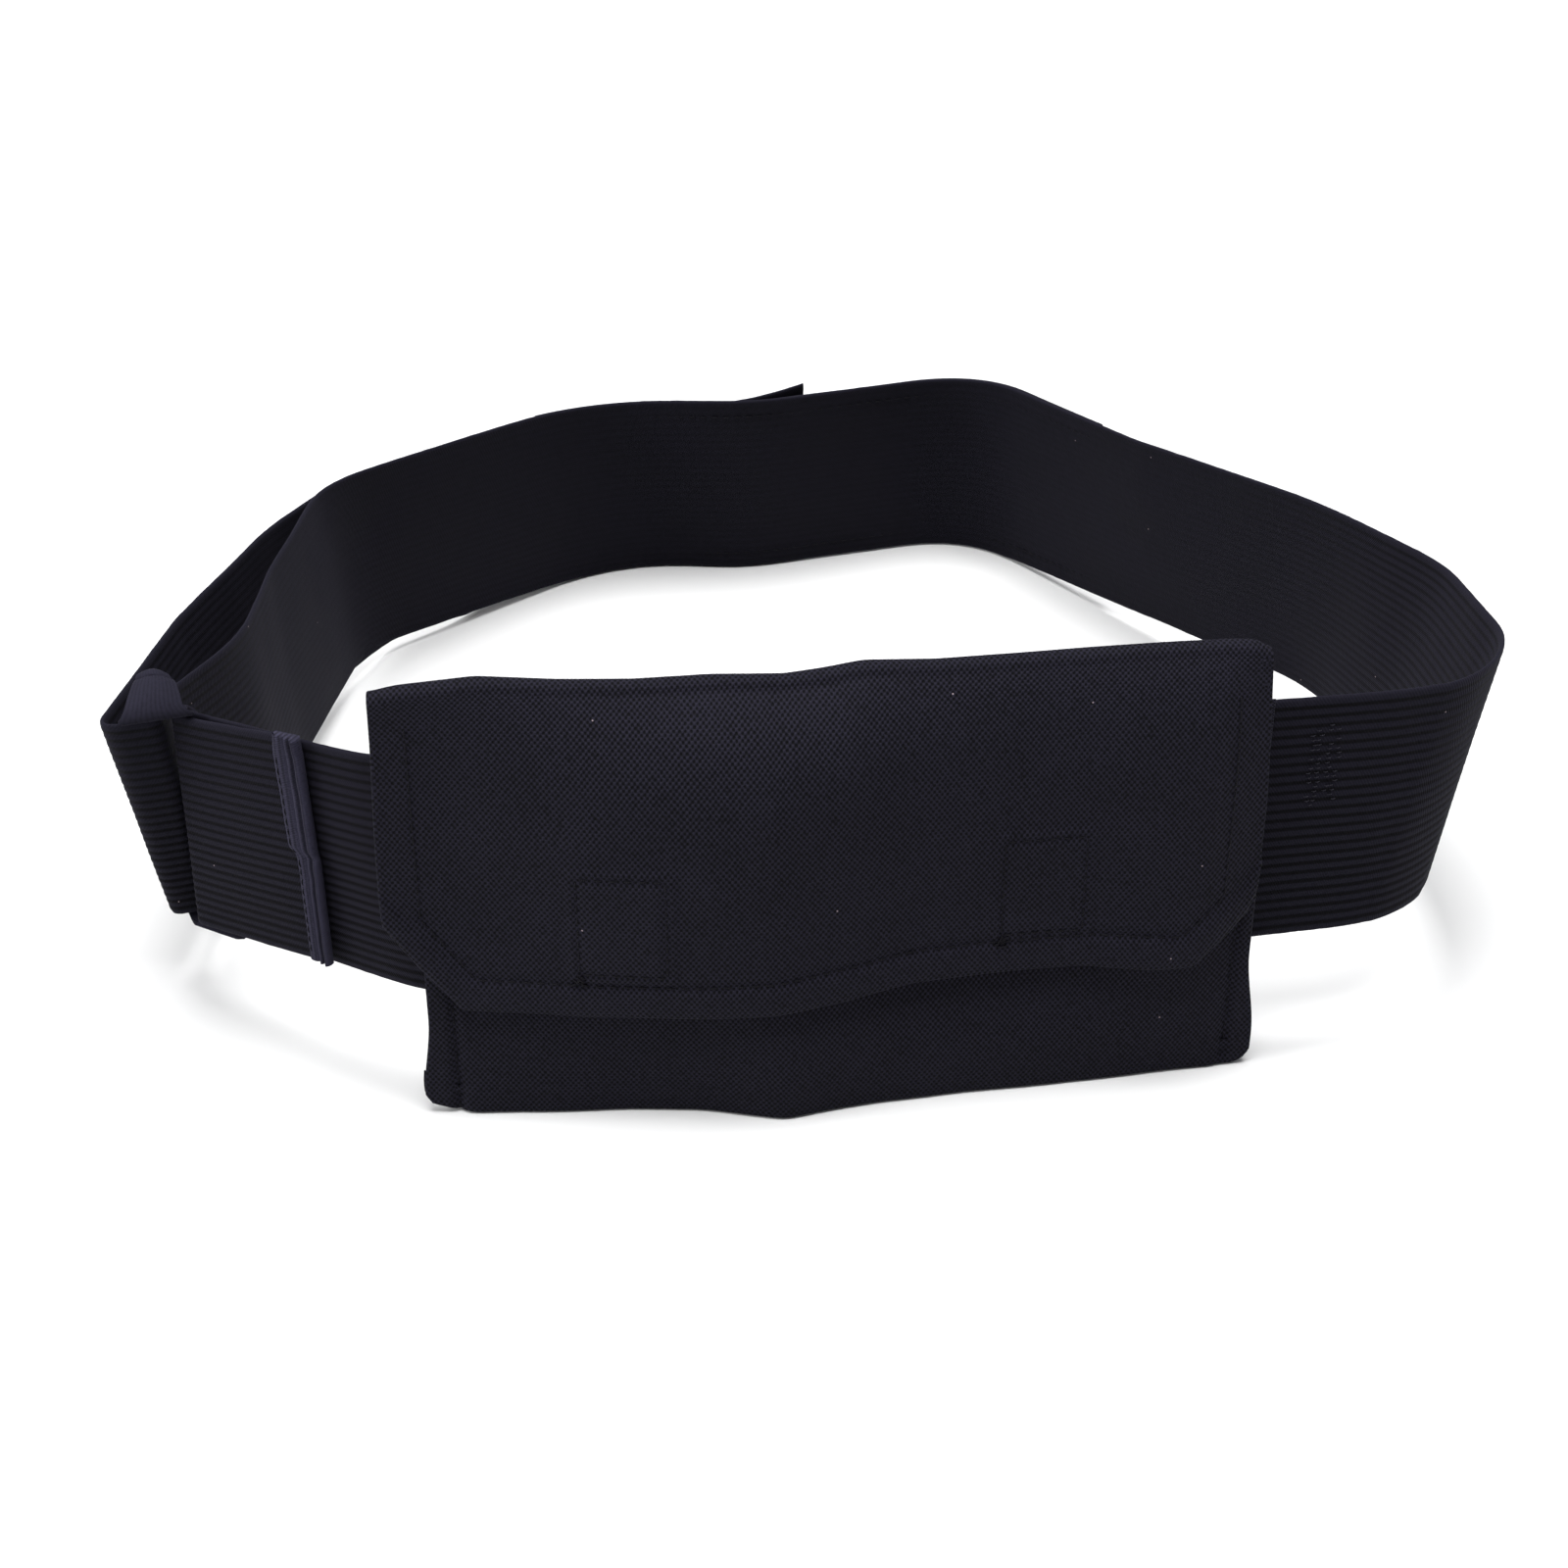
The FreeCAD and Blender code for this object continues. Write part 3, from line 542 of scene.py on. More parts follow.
def band_points(line, outline, start=0.0, offset=0.0, trim=(0.0, 1.0), lifted=0.0, pressed=0.0):
    """A band's rings of points and its cloth map: lifted raises it, pressed flattens its ribs."""
    top, low = band_edges(line, lifted, FLOOR_GAP)
    top_normals, low_normals = (np.column_stack([plan_normals(edge), np.zeros(len(line))])[:, None]
                                for edge in (line[:, :2], line[:, 2:]))
    lengths = lengthwise(line) + start
    across = trim[0] + outline[:, 0] * (trim[1] - trim[0])
    share = across[None, :, None]
    normals = unit(low_normals * (1 - share) + top_normals * share)
    wander = waves(lengths[:, None], across[None, :] * BELT_WIDTH, 1, 27) * RIPPLE
    belly = np.sin(math.pi * across)[None, :] * waves(lengths[:, None], 0, 4, 60) * RIPPLE * 2
    side, half = np.sign(outline[:, 1]), np.abs(outline[:, 1]).max() - RIB_DEPTH / 4
    relief = np.where(np.abs(outline[:, 1]) > half - RIB_DEPTH / 3, outline[:, 1] - side * half, 0)
    offsets = outline[:, 1] - np.multiply.outer(np.broadcast_to(pressed, len(line)), relief)
    rings = low[:, None] + (top - low)[:, None] * share
    rings += normals * (offsets + offset + wander + belly)[..., None]
    rings[..., 2] += PICOT * waves(lengths[:, None], 0, 10, 1.3) * (np.abs(across - 0.5) > 0.485)[None, :]
    rings[..., 2] = np.maximum(rings[..., 2], 0.05)
    return rings, np.stack(np.broadcast_arrays(lengths[:, None], across[None, :] * BELT_WIDTH), -1)


def add_band(name, line, material, ribbed=True, thickness=THICKNESS, **shape):
    """A band of webbing along a line, as a closed mesh."""
    outline = band_outline(ribbed, thickness)
    rings, maps = band_points(line, outline, **shape)
    faces = tube_faces(len(rings), len(outline))
    return add_mesh(name, rings.reshape(-1, 3), faces, material, maps.reshape(-1, 2))


def dress(piece, body, node):
    """A finished piece rides on a body and stands for its CAD node, which is hidden."""
    if body:
        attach(piece, body)
    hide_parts(node)
    return piece


STITCH, THREAD_SIZE, STITCH_PITCH = 2.3, 0.42, 3.1


def sew(name, places, body, node, length=STITCH, size=THREAD_SIZE, material=THREAD):
    """Rows of stitches on a body, in place of their CAD node."""
    dress(stitch_mesh(name, places, length, size, material), body, node)


def piece_of(line, first, last):
    """The back run's part of a line between two places across, in the line's own order."""
    spots = [spot for spot in range(len(line)) if line[spot, 1] > 200 and first <= line[spot, 0] <= last]
    return line[spots[0]:spots[-1] + 1]


# The ribs are pressed flat where the elastic is sewn to its tapes at the back
pressed = SEWN_FLAT * ease(belt_line[:, 1], 60, 190)
belt = add_band("elastic_belt", belt_line, ELASTIC, lifted=belt_lift, pressed=pressed)
dress(belt, "belt", "elastic_strap")
belt_length = lengthwise(belt_line)[-1]

tail = add_band("elastic_tail", tail_line, ELASTIC, start=belt_length, lifted=tail_lift, pressed=0.4)
dress(tail, None, "strap_tail")

# The tapes of the fastening behind the wearer
TAPE_TRIM, TAPE_ROWS = (0.04, 0.985), (0.09, 0.91)
LOOP_FROM, LOOP_TO, HOOK_FROM, HOOK_TO = -58, 97, -54, 18
LOOP_OFFSET, LOOP_THICKNESS = 1.75, 1.8
HOOK_OFFSET, HOOK_THICKNESS, HOOK_DROP = 3.65, 1.3, -DROP_SHARE * OUTER_OFFSET
loop_line = piece_of(first_pass, LOOP_FROM, LOOP_TO)
loop_tape = add_band("back_loop_tape_pile", loop_line, LOOP_TAPE, ribbed=False, thickness=LOOP_THICKNESS,
                     offset=LOOP_OFFSET, trim=TAPE_TRIM)
dress(loop_tape, "belt", "back_loop_tape")
hook_line = piece_of(first_pass, HOOK_FROM, HOOK_TO)
hook_tape = add_band("tail_hook_tape_strip", hook_line, HOOK_TAPE, ribbed=False, thickness=HOOK_THICKNESS,
                     offset=HOOK_OFFSET, trim=TAPE_TRIM, lifted=HOOK_DROP)
dress(hook_tape, "tail", "tail_hook_tape")

FACE = THICKNESS / 2 + RIB_DEPTH / 4
ROW_MARGIN = 3.0


def tape_rows(line, side, lifted=0.0):
    """Two rows of stitches lengthwise on a band, side being their signed distance to its right."""
    top, low = band_edges(line, lifted)
    lengths = lengthwise(line)
    places = []
    for across in TAPE_ROWS:
        course = low + (top - low) * across
        normals = plan_normals(line[:, :2] * across + line[:, 2:] * (1 - across))
        for wanted in np.arange(ROW_MARGIN, lengths[-1] - ROW_MARGIN, STITCH_PITCH):
            spot = min(np.searchsorted(lengths, wanted), len(lengths) - 1)
            share = (wanted - lengths[spot - 1]) / (lengths[spot] - lengths[spot - 1])
            point = course[spot - 1] * (1 - share) + course[spot] * share
            outward = np.append(normals[spot], 0)
            places.append((point + outward * side, course[spot] - course[spot - 1], outward * np.sign(side)))
    return places


open_loop = piece_of(first_pass, 24, LOOP_TO)
loop_seams = tape_rows(open_loop, LOOP_OFFSET + LOOP_THICKNESS / 2) + tape_rows(loop_line, -FACE + 0.12)
sew("loop_tape_seams", loop_seams, "belt", "loop_tape_stitching")
sewn = [spot for spot in range(len(tail_line)) if HOOK_FROM < tail_line[spot, 0] < HOOK_TO]
sew("hook_tape_seams", tape_rows(tail_line[sewn], -FACE, tail_lift[sewn]), "tail", "hook_tape_stitching")


# -------------------- hemmed end, keeper and bar tack

# The rolled hem's outline: places (distance from the elastic's end, height above its face)
HEM_TOP = [(-0.9, 0.1), (-0.95, 1.0), (-0.7, 1.75), (-0.2, 2.1), (0.3, 1.75), (0.6, 0.7), (0.95, 1.5),
           (1.4, 1.85), (1.85, 1.5), (2.2, 0.6), (2.6, 1.15), (3.4, 1.3), (4.2, 1.25), (4.9, 1.05),
           (5.2, 0.5)]
HEM_UNDER = (5.2, 4.2, 3.4, 2.6, 2.2, 1.85, 1.4, 0.95, 0.6, 0.3, -0.2, -0.7)
HEM_OUTLINE = HEM_TOP + [(along, -0.1) for along in HEM_UNDER]
HEM_SHIFT, HEM_LEAN, HEM_KINK, HEM_KINK_AT = 2.6, 1.9, 0.7, 0.5
HEM_SPREAD = 0.25
HEM_FROM, HEM_TO, HEM_RINGS = 0.012, 1.015, 70


def hem_rings():
    """The hem's rings from below the belt's lower edge to the gathered curl above its top edge."""
    top, low = (edge[[0, 5]] for edge in band_edges(belt_line, HEM_RISE))
    rings = []
    for share in np.linspace(HEM_FROM, HEM_TO, HEM_RINGS):
        start = low[0] + (top[0] - low[0]) * share
        heading = unit((low[1] - low[0]) * (1 - share) + (top[1] - top[0]) * share)
        outward = np.array([-heading[1], heading[0], 0])
        above = 1 / (1 + math.exp((HEM_KINK_AT - share) * 130))
        shift = HEM_SHIFT - above * (HEM_KINK + HEM_LEAN * max(0.0, share - HEM_KINK_AT))
        pinch = 0.35 * math.exp(-((share - HEM_KINK_AT) / 0.02) ** 2)
        curl = max(0.0, (share - 0.93) / 0.085)
        breadth = 1 + HEM_SPREAD * above - 0.2 * curl
        puff = 1 - pinch + 0.35 * curl + 0.12 * float(waves(share * 60, 0, 31, 4))
        rings.append([start + heading * (along * breadth - shift) + outward * (FACE + height * puff)
                      for along, height in HEM_OUTLINE])
    return np.array(rings)


hem_points = hem_rings()
hem_maps = [(ring * 0.9, along + 10) for ring in range(HEM_RINGS) for along, _ in HEM_OUTLINE]
hem_faces = tube_faces(HEM_RINGS, len(HEM_OUTLINE))
hem = add_mesh("rolled_hem", hem_points.reshape(-1, 3), hem_faces, HEM_ELASTIC, hem_maps)
dress(hem, "belt", "strap_hem")
hem_places = []
for along_index in (5, 12):
    column = hem_points[:, along_index]
    for spot in range(4, HEM_RINGS - 6, 3):
        outward = column[spot] - hem_points[spot, -4]
        hem_places.append((column[spot], column[spot + 1] - column[spot], outward))
sew("hem_seams", hem_places, "belt", "hem_stitching", 1.9, 0.34)

# The keeper's stations, left and right edge in turn, once round: dome, rear leg, under the belt, front leg
KEEPER_STATIONS = [
    ((-148.6, 32.5, 81.5), (-133.2, 35.4, 81.7)),
    ((-147.4, 33.8, 83.4), (-135.2, 35.6, 83.0)),
    ((-146.6, 38.6, 84.9), (-136.2, 38.8, 84.5)),
    ((-146.0, 43.2, 85.1), (-137.8, 43.6, 84.7)),
    ((-145.6, 46.6, 82.2), (-140.2, 47.0, 82.0)),
    ((-145.6, 50.8, 52.0), (-142.2, 51.2, 52.0)),
    ((-144.9, 58.6, 23.0), (-141.4, 59.4, 23.0)),
    ((-144.2, 57.4, 17.6), (-138.6, 56.4, 17.4)),
    ((-141.8, 53.2, 16.9), (-131.4, 45.4, 17.2)),
    ((-138.0, 53.8, 22.0), (-129.6, 47.4, 22.0)),
    ((-137.6, 49.4, 52.0), (-129.0, 42.8, 52.0)),
    ((-136.8, 44.0, 75.0), (-132.4, 40.6, 75.0)),
    ((-140.6, 41.0, 80.9), (-134.8, 39.8, 80.4)),
    ((-146.4, 34.8, 80.9), (-134.8, 37.0, 80.8)),
]
KEEPER_THICKNESS, KEEPER_CROWN, KEEPER_RELIEF = 1.0, 1.2, 0.05
KEEPER_RIBS, KEEPER_SAMPLES, KEEPER_PITCH, KEEPER_STEP = 13, 4, 1.25, 2.1
DOME_FROM, DOME_RISE = 81.5, 3.0


def closed_spline(points, samples):
    """A smooth closed line through points, evenly divided between them."""
    points = np.array(points, float)
    count = len(points)
    line = []
    for index in range(count):
        before, here, after, beyond = (points[(index + step) % count] for step in (-1, 0, 1, 2))
        for share in np.arange(samples) / samples:
            line.append(0.5 * (2 * here + (after - before) * share
                               + (2 * before - 5 * here + 4 * after - beyond) * share ** 2
                               + (3 * here - before - 3 * after + beyond) * share ** 3))
    return np.array(line)


left_edge, right_edge = (closed_spline([station[side] for station in KEEPER_STATIONS], 8) for side in (0, 1))
shares = np.linspace(0, 1, KEEPER_RIBS * KEEPER_SAMPLES + 1)
keeper_middle = left_edge + right_edge
heading = unit(np.roll(keeper_middle, -1, 0) - np.roll(keeper_middle, 1, 0))
outward = unit(np.cross(right_edge - left_edge, heading))
surface = left_edge[:, None] + (right_edge - left_edge)[:, None] * shares[None, :, None]
on_dome = np.clip((surface[..., 2].mean(axis=1) - DOME_FROM) / DOME_RISE, 0, 1)[:, None]
crown = KEEPER_CROWN * np.sin(math.pi * shares) * on_dome
rib_rise = KEEPER_THICKNESS / 2 + np.abs(np.sin(math.pi * shares * KEEPER_RIBS)) * KEEPER_RELIEF
over_points = surface + outward[:, None] * (rib_rise + crown)[..., None]
under_points = surface + outward[:, None] * (crown - KEEPER_THICKNESS / 2)[..., None]
keeper_rings = np.concatenate([under_points, over_points[:, ::-1]], axis=1)
keeper_across = np.concatenate([shares, shares[::-1]]) * KEEPER_RIBS * KEEPER_PITCH
keeper_maps = [(ring * KEEPER_STEP, across) for ring in range(len(keeper_rings)) for across in keeper_across]
keeper_faces = tube_faces(len(keeper_rings), len(keeper_across), closed=True)
keeper = add_mesh("keeper_band", keeper_rings.reshape(-1, 3), keeper_faces, KEEPER_ELASTIC, keeper_maps)
dress(keeper, "belt", "keeper_loop")
keeper_places = [(over_points[spot, column], over_points[spot + 1, column] - over_points[spot, column],
                  outward[spot]) for column in (12, 28) for spot in range(42, 47)]
sew("keeper_seams", keeper_places, "belt", "keeper_stitching", 1.8, 0.4)

# The bar tack: short pale dashes in uneven columns, some left out
TACK_COLUMNS, TACK_LEFT_OUT = (101.4, 103.0, 105.2, 107.0), 0.35
front_run = [spot for spot in range(len(belt_line))
             if belt_line[spot, 1] < 25 and 90 < belt_line[spot, 0] < 118]
tack_draws = np.random.default_rng(3)
tack_places = []
for column in TACK_COLUMNS:
    edges = belt_line[min(front_run, key=lambda spot: abs(belt_line[spot, 0] - column))]
    for row in range(28, 46):
        across = (row / 2 + 0.5) / RIBS
        shift, keep = tack_draws.normal(0, 0.25), tack_draws.random()
        if keep < TACK_LEFT_OUT:
            continue
        plan = edges[2:] * (1 - across) + edges[:2] * across
        height = LIFT + BELT_WIDTH * across + TILT * column
        tack_places.append(((column + shift, plan[1] - FACE - 0.1, height), (1, 0, 0.15), (0, -1, 0)))
sew("bar_tack", tack_places, "belt", "right_bartack", 0.95, 0.26, PALE_THREAD)


# -------------------- the pouch

def through(*knots, soft=25):
    """A smooth curve through (place, value) knots, flat beyond the ends."""
    places, values = zip(*knots)
    fine = np.linspace(places[0], places[-1], 400)
    smooth = softened(np.interp(fine, places, values)[:, None], soft)[:, 0]
    return lambda spot: np.interp(spot, fine, smooth)


POUCH_LEFT, POUCH_RIGHT = -89.5, 90.5
PANEL_WIDTH = POUCH_RIGHT - POUCH_LEFT
SIDE_SEAM_LEFT, SIDE_SEAM_RIGHT = -82.5, 85.2
MOUTH = 96.0
FLAP_LEFT, FLAP_RIGHT, FLAP_TAPER = -95.2, 88.2, 1.0
FLAP_THICKNESS, LINING_THICKNESS, PANEL_THICKNESS = 0.8, 0.5, 0.8
ROLL_CENTRE, ROLL_RADIUS = 1.5, 2.2
PATCHES = {"left": (-57.0, -36.0, 38.5, 65.0), "right": (31.5, 51.8, 40.5, 66.5)}
FLAP_SEAM = 7.6

# How far forward the pouch's foot and the flap's lower part stand, and how high the fold is, across the pouch
foot_line = through((-89.5, -1.2), (-81.5, -2.0), (-64, -3.4), (-47, -4.2), (-30, -6.6), (-13, -11.4),
                    (-4, -9.6), (8, -7.6), (26, -6.3), (43, -5.4), (61, -4.0), (79, -2.8), (90, -2.2),
                    soft=17)
flap_reach = through((-95, -2.0), (-80, -3.1), (-53, -9.4), (-30, -13.2), (-15, -14.2), (0, -12.2),
                     (15, -8.8), (36, -6.4), (51, -6.4), (66, -7.8), (76, -7.6), (88, -3.2))
crest = through((-95, 100.6), (-90, 101.7), (-74, 102.9), (-58, 101.3), (-43, 100.5), (-27, 100.7),
                (-12, 100.0), (-4, 100.9), (4, 102.2), (19, 101.6), (35, 102.0), (51, 102.5), (67, 102.8),
                (80, 102.8), (85.5, 102.4), (88.2, 100.4), soft=11)
HEM_CORNERS = [(-95.4, 50.0), (-88.6, 39.8), (-80.2, 28.9), (-53, 29.2), (-30, 29.7), (-15, 30.1), (0, 31.0),
               (15, 32.4), (51, 33.0), (66, 31.6), (74.6, 31.6), (81.5, 37.2), (86.6, 42.4), (88.2, 47.0)]


def flap_hem(across):
    """Height of the flap's lower edge, with its two cut corners."""
    return np.interp(across, *zip(*HEM_CORNERS))


def flap_depth(across, height):
    """Y of the flap's outer face where it hangs in front: it rolls forward quickly below the fold."""
    top = crest(across)
    down = np.clip((top - height) / (top - 30), 0, 1.2)
    full = 1 - (1 - np.minimum(down, 1)) ** 6.5
    start = ROLL_CENTRE - ROLL_RADIUS
    loose = np.minimum(down * 4, 1)
    return (start + (flap_reach(across) - start) * full + waves(across, height, 21, 38) * 1.1 * loose
            + waves(across, height * 1.3, 22, 15) * 0.3 * loose)


def foot_height(across):
    """Height of the pouch's foot: the left corner is cut, the right one rounded."""
    across = np.asarray(across, float)
    left = 2.4 * np.clip((-across - 82.0) / 7.5, 0, 1) + 1.6 * np.clip((-across - 88.2) / 1.4, 0, 1) ** 2
    right = 4.2 * (1 - np.sqrt(1 - np.clip((across - 86.6) / 4.2, 0, 0.97) ** 2))
    return left + right


def flange_face(across):
    """Y of the front face of the pouch's sewn sides."""
    return foot_line(across) + 0.35


def front_depth(across, height):
    """Y of the pouch's front face: behind the flap above, down to the bottom fold, flat at the sewn sides."""
    hang = flap_depth(across, np.maximum(height, 33)) + 3.5
    share = np.clip(height / 33, 0, 1)
    lower = foot_line(across) - 1.5 * np.sin(math.pi * share) * (1 - (np.asarray(across) / 90) ** 2)
    depth = lower + (hang - lower) * share ** 1.6
    depth = depth + waves(across, height, 41, 17) * 0.35
    side = np.maximum(ease(-across, -SIDE_SEAM_LEFT - 4, -SIDE_SEAM_LEFT),
                      ease(across, SIDE_SEAM_RIGHT - 4, SIDE_SEAM_RIGHT))
    return depth * (1 - side) + flange_face(across) * side


def back_depth(across, height):
    """Y of the back panel's inner face."""
    side = ease(np.abs(across), 76, 83)
    depth = BACK_PLANE * (1 - side) + (flange_face(across) + 1.1) * side
    top = ease(height, 90, 99)
    depth = depth * (1 - top) + np.minimum(depth, 2.1) * top
    low = 1 - ease(height, 1, 17)
    return depth * (1 - low) + (foot_line(across) + 1.4) * low


def sides(height):
    """Left and right ends of the pouch's body at a height."""
    left = POUCH_LEFT + 2.0 * ease(height, 4, 24)
    right = POUCH_RIGHT + 0.5 - 2.4 * ease(height, 8, 30) - 2.2 * ease(height, 45, 80)
    return left, right


def cloth_map(grid):
    """Cloth map of a grid whose rows run down and columns across, true to its middle column."""
    middle = grid[:, grid.shape[1] // 2]
    steps = np.linalg.norm(np.diff(middle, axis=0), axis=-1)
    down = np.concatenate([[0], np.cumsum(steps)])
    sense = np.sign(middle[0, 2] - middle[-1, 2])
    lag = (middle[:, 2][:, None] - grid[..., 2]) * sense
    return np.stack([grid[..., 0], down[:, None] + lag], -1)


def distance_to(corners, across, height):
    """Distance of each spot from a line through (across, height) corners."""
    best = np.full(np.shape(across), 1e9)
    for (x0, z0), (x1, z1) in zip(corners, corners[1:]):
        run = np.array([x1 - x0, z1 - z0])
        share = np.clip(((across - x0) * run[0] + (height - z0) * run[1]) / (run @ run), 0, 1)
        best = np.minimum(best, np.hypot(across - x0 - share * run[0], height - z0 - share * run[1]))
    return best


def groove(distance, depth, width=0.9):
    """How far a seam pulls the cloth in at a distance from it."""
    return depth * np.exp(-(distance / width) ** 2)


FRONT_SEAMS = [[(SIDE_SEAM_LEFT, 0.5), (SIDE_SEAM_LEFT, 94)], [(SIDE_SEAM_RIGHT, 3), (SIDE_SEAM_RIGHT, 94)]]
FOLD = 1.0


def seamed_front(across, height):
    """The front face with its side seams pulled in."""
    depth = front_depth(across, height)
    for seam in FRONT_SEAMS:
        depth = depth + groove(distance_to(seam, np.asarray(across), np.asarray(height)), 1.0)
    return depth


def upright_rows(rows, columns, foot_gap, top):
    """Places across and heights of the pouch's outline, rows going up from its foot."""
    share, up = np.linspace(0, 1, columns)[None], np.linspace(0, 1, rows)[:, None]
    foot = foot_height(POUCH_LEFT + PANEL_WIDTH * share) + foot_gap
    height = foot + (top - foot) * up
    left, right = sides(height)
    return left + (right - left) * share, height


def front_grid():
    """The front panel from its mouth down, round the bottom fold and a little up behind."""
    across, height = (part[::-1] for part in upright_rows(90, 181, FOLD, MOUTH))
    rows = list(np.stack([across, seamed_front(across, height), height], -1))
    last = rows[-1]
    for angle in np.linspace(0, math.pi, 7)[1:]:
        rows.append(last + [0, FOLD * (1 - math.cos(angle)), -FOLD * math.sin(angle)])
    for step in range(3):
        up = rows[-1] + [0, 0, 2.0]
        up[:, 1] += (back_depth(up[:, 0], up[:, 2]) - 0.1 - up[:, 1]) * 0.5
        rows.append(up)
    return np.array(rows)


def back_grid():
    """The back panel's outer face, rows upwards so that it faces back."""
    across, height = upright_rows(70, 121, 2.2, 101.0)
    depth = back_depth(across, height) + PANEL_THICKNESS + waves(across, height, 51, 30) * 0.25
    return np.stack([across, depth, height], -1)


TUNNEL_LEFT, TUNNEL_RIGHT = -77.0, 80.0
TUNNEL_LOW, TUNNEL_HIGH, TUNNEL_DEPTH = 13.0, 97.0, 4.7
TUNNEL_SEAMS = (TUNNEL_LOW + 3.5, TUNNEL_HIGH - 3.5)


def tunnel_grid():
    """The belt tunnel's outer face: sewn flat along both edges, raised over the belt between."""
    across, height = np.meshgrid(np.linspace(TUNNEL_LEFT, TUNNEL_RIGHT, 121),
                                 np.linspace(TUNNEL_LOW, TUNNEL_HIGH, 80))
    flare = 1.5 * ease(-across, 66, 77)
    raised = ease(height, 19, 23.2) * (1 - ease(height, 86.2, 91))
    base = back_depth(across, height) + 2 * PANEL_THICKNESS + 0.12
    level = BACK_PLANE + 2 * PANEL_THICKNESS + TUNNEL_DEPTH + flare
    depth = base + (np.maximum(level, base) - base) * raised + waves(across, height, 61, 24) * 0.3
    for seam_height in TUNNEL_SEAMS:
        depth = depth - groove(np.abs(height - seam_height), 0.35)
    return np.stack([across, depth, height], -1)


def panel(name, grid, thickness, material, body, node, rim=2):
    """A cloth piece from the grid of its outer face, on a body and in place of its CAD node."""
    return dress(shell(name, grid, thickness, material, cloth_map(grid), rim), body, node)


front = panel("pouch_front", front_grid(), PANEL_THICKNESS, CLOTH, "pouch", "front_panel")
back = panel("pouch_back", back_grid(), PANEL_THICKNESS, CLOTH, "pouch", "back_panel")
tunnel = panel("belt_tunnel_cloth", tunnel_grid(), PANEL_THICKNESS, CLOTH, "pouch", "belt_tunnel")

SEAM_MARGIN = 1.5


def surface_row(corners, depth_of, lift, facing=-1, pitch=STITCH_PITCH):
    """Stitches on an upright cloth along (across, height) corners: facing -1 is the front."""
    places = []
    for (x0, z0), (x1, z1) in zip(corners, corners[1:]):
        length = math.hypot(x1 - x0, z1 - z0)
        run_x, run_z = (x1 - x0) / length, (z1 - z0) / length
        sewn_length = length - 2 * SEAM_MARGIN
        count = max(1, int(sewn_length / pitch) + 1)
        for step in range(count):
            share = (SEAM_MARGIN + sewn_length * (step / max(1, count - 1))) / length
            x, z = x0 + (x1 - x0) * share, z0 + (z1 - z0) * share
            slope_x = float(depth_of(x + 0.5, z)) - float(depth_of(x - 0.5, z))
            slope_z = float(depth_of(x, z + 0.5)) - float(depth_of(x, z - 0.5))
            direction = (run_x, slope_x * run_x + slope_z * run_z, run_z)
            outward = unit(np.array([-slope_x, 1, -slope_z])) * facing
            places.append((np.array([x, float(depth_of(x, z)), z]) + outward * lift, direction, outward))
    return places


def tunnel_face(across, height):
    """Y of the tunnel's face where it is sewn to the back panel."""
    return back_depth(across, height) + 2 * PANEL_THICKNESS - 0.2


side_places = [spot for seam in FRONT_SEAMS for spot in surface_row(seam, seamed_front, 0.0)]
sew("side_seams", side_places, "pouch", "side_stitching")
tunnel_places = []
for seam_height in TUNNEL_SEAMS:
    seam = [(TUNNEL_LEFT + 3, seam_height), (TUNNEL_RIGHT - 3, seam_height)]
    tunnel_places += surface_row(seam, tunnel_face, 0.05, facing=1)
sew("tunnel_seams", tunnel_places, "pouch", "tunnel_stitching")


def strip_grid(left, right, low, high, depth_of, columns, rows, offset):
    """A grid over part of an upright cloth, a distance outside its face."""
    across, height = np.meshgrid(np.linspace(left, right, columns), np.linspace(high, low, rows))
    grid = np.stack([across, depth_of(across, height), height], -1)
    return grid + grid_normals(grid) * offset


mouth_grid = strip_grid(SIDE_SEAM_LEFT + 1, SIDE_SEAM_RIGHT - 1, MOUTH - 12, MOUTH - 0.3, front_depth, 100, 8,
                        -PANEL_THICKNESS - 0.08)
mouth_hem = panel("mouth_hem_fold", mouth_grid, 0.5, CLOTH, "pouch", "mouth_hem")
mouth_line = [(SIDE_SEAM_LEFT + 3, MOUTH - 10), (SIDE_SEAM_RIGHT - 3, MOUTH - 10)]
sew("mouth_hem_seams", surface_row(mouth_line, front_depth, 0.05), "pouch", "mouth_hem_stitching")
for side, (left, right) in {"left": (-87.0, SIDE_SEAM_LEFT), "right": (SIDE_SEAM_RIGHT, 88.6)}.items():
    allowance = strip_grid(left, right, 4.5, 92, back_depth, 5, 60, 0.12)
    panel(f"side_allowance_{side}_cloth", allowance, 0.3, LINING, "pouch", f"side_allowance_{side}", rim=1)


# -------------------- the flap

SEAM_LEFT, SEAM_RIGHT = FLAP_LEFT + FLAP_SEAM, FLAP_RIGHT - FLAP_SEAM
FLAP_SEAM_LINE = [(SEAM_LEFT, 96.0), (SEAM_LEFT, 51.0), (-77.0, 36.4), (-53, 36.8), (-15, 37.7), (15, 40.0),
                  (51, 40.6), (71.8, 39.2), (SEAM_RIGHT, 47.5), (SEAM_RIGHT, 95.0)]
FLAP_FOOT_LINE, FLAP_SIDE_LINES = FLAP_SEAM_LINE[1:-1], [FLAP_SEAM_LINE[:2], FLAP_SEAM_LINE[-2:]]
PATCH_MARGIN, PATCH_RELIEF = 1.5, 0.55
FLAP_BACK = 96.5  # height to which the flap reaches down behind


def square_line(x0, x1, z0, z1):
    """The closed line of stitches inside a patch's edge."""
    left, right, low, high = x0 + PATCH_MARGIN, x1 - PATCH_MARGIN, z0 + PATCH_MARGIN, z1 - PATCH_MARGIN
    return [(left, low), (right, low), (right, high), (left, high), (left, low)]


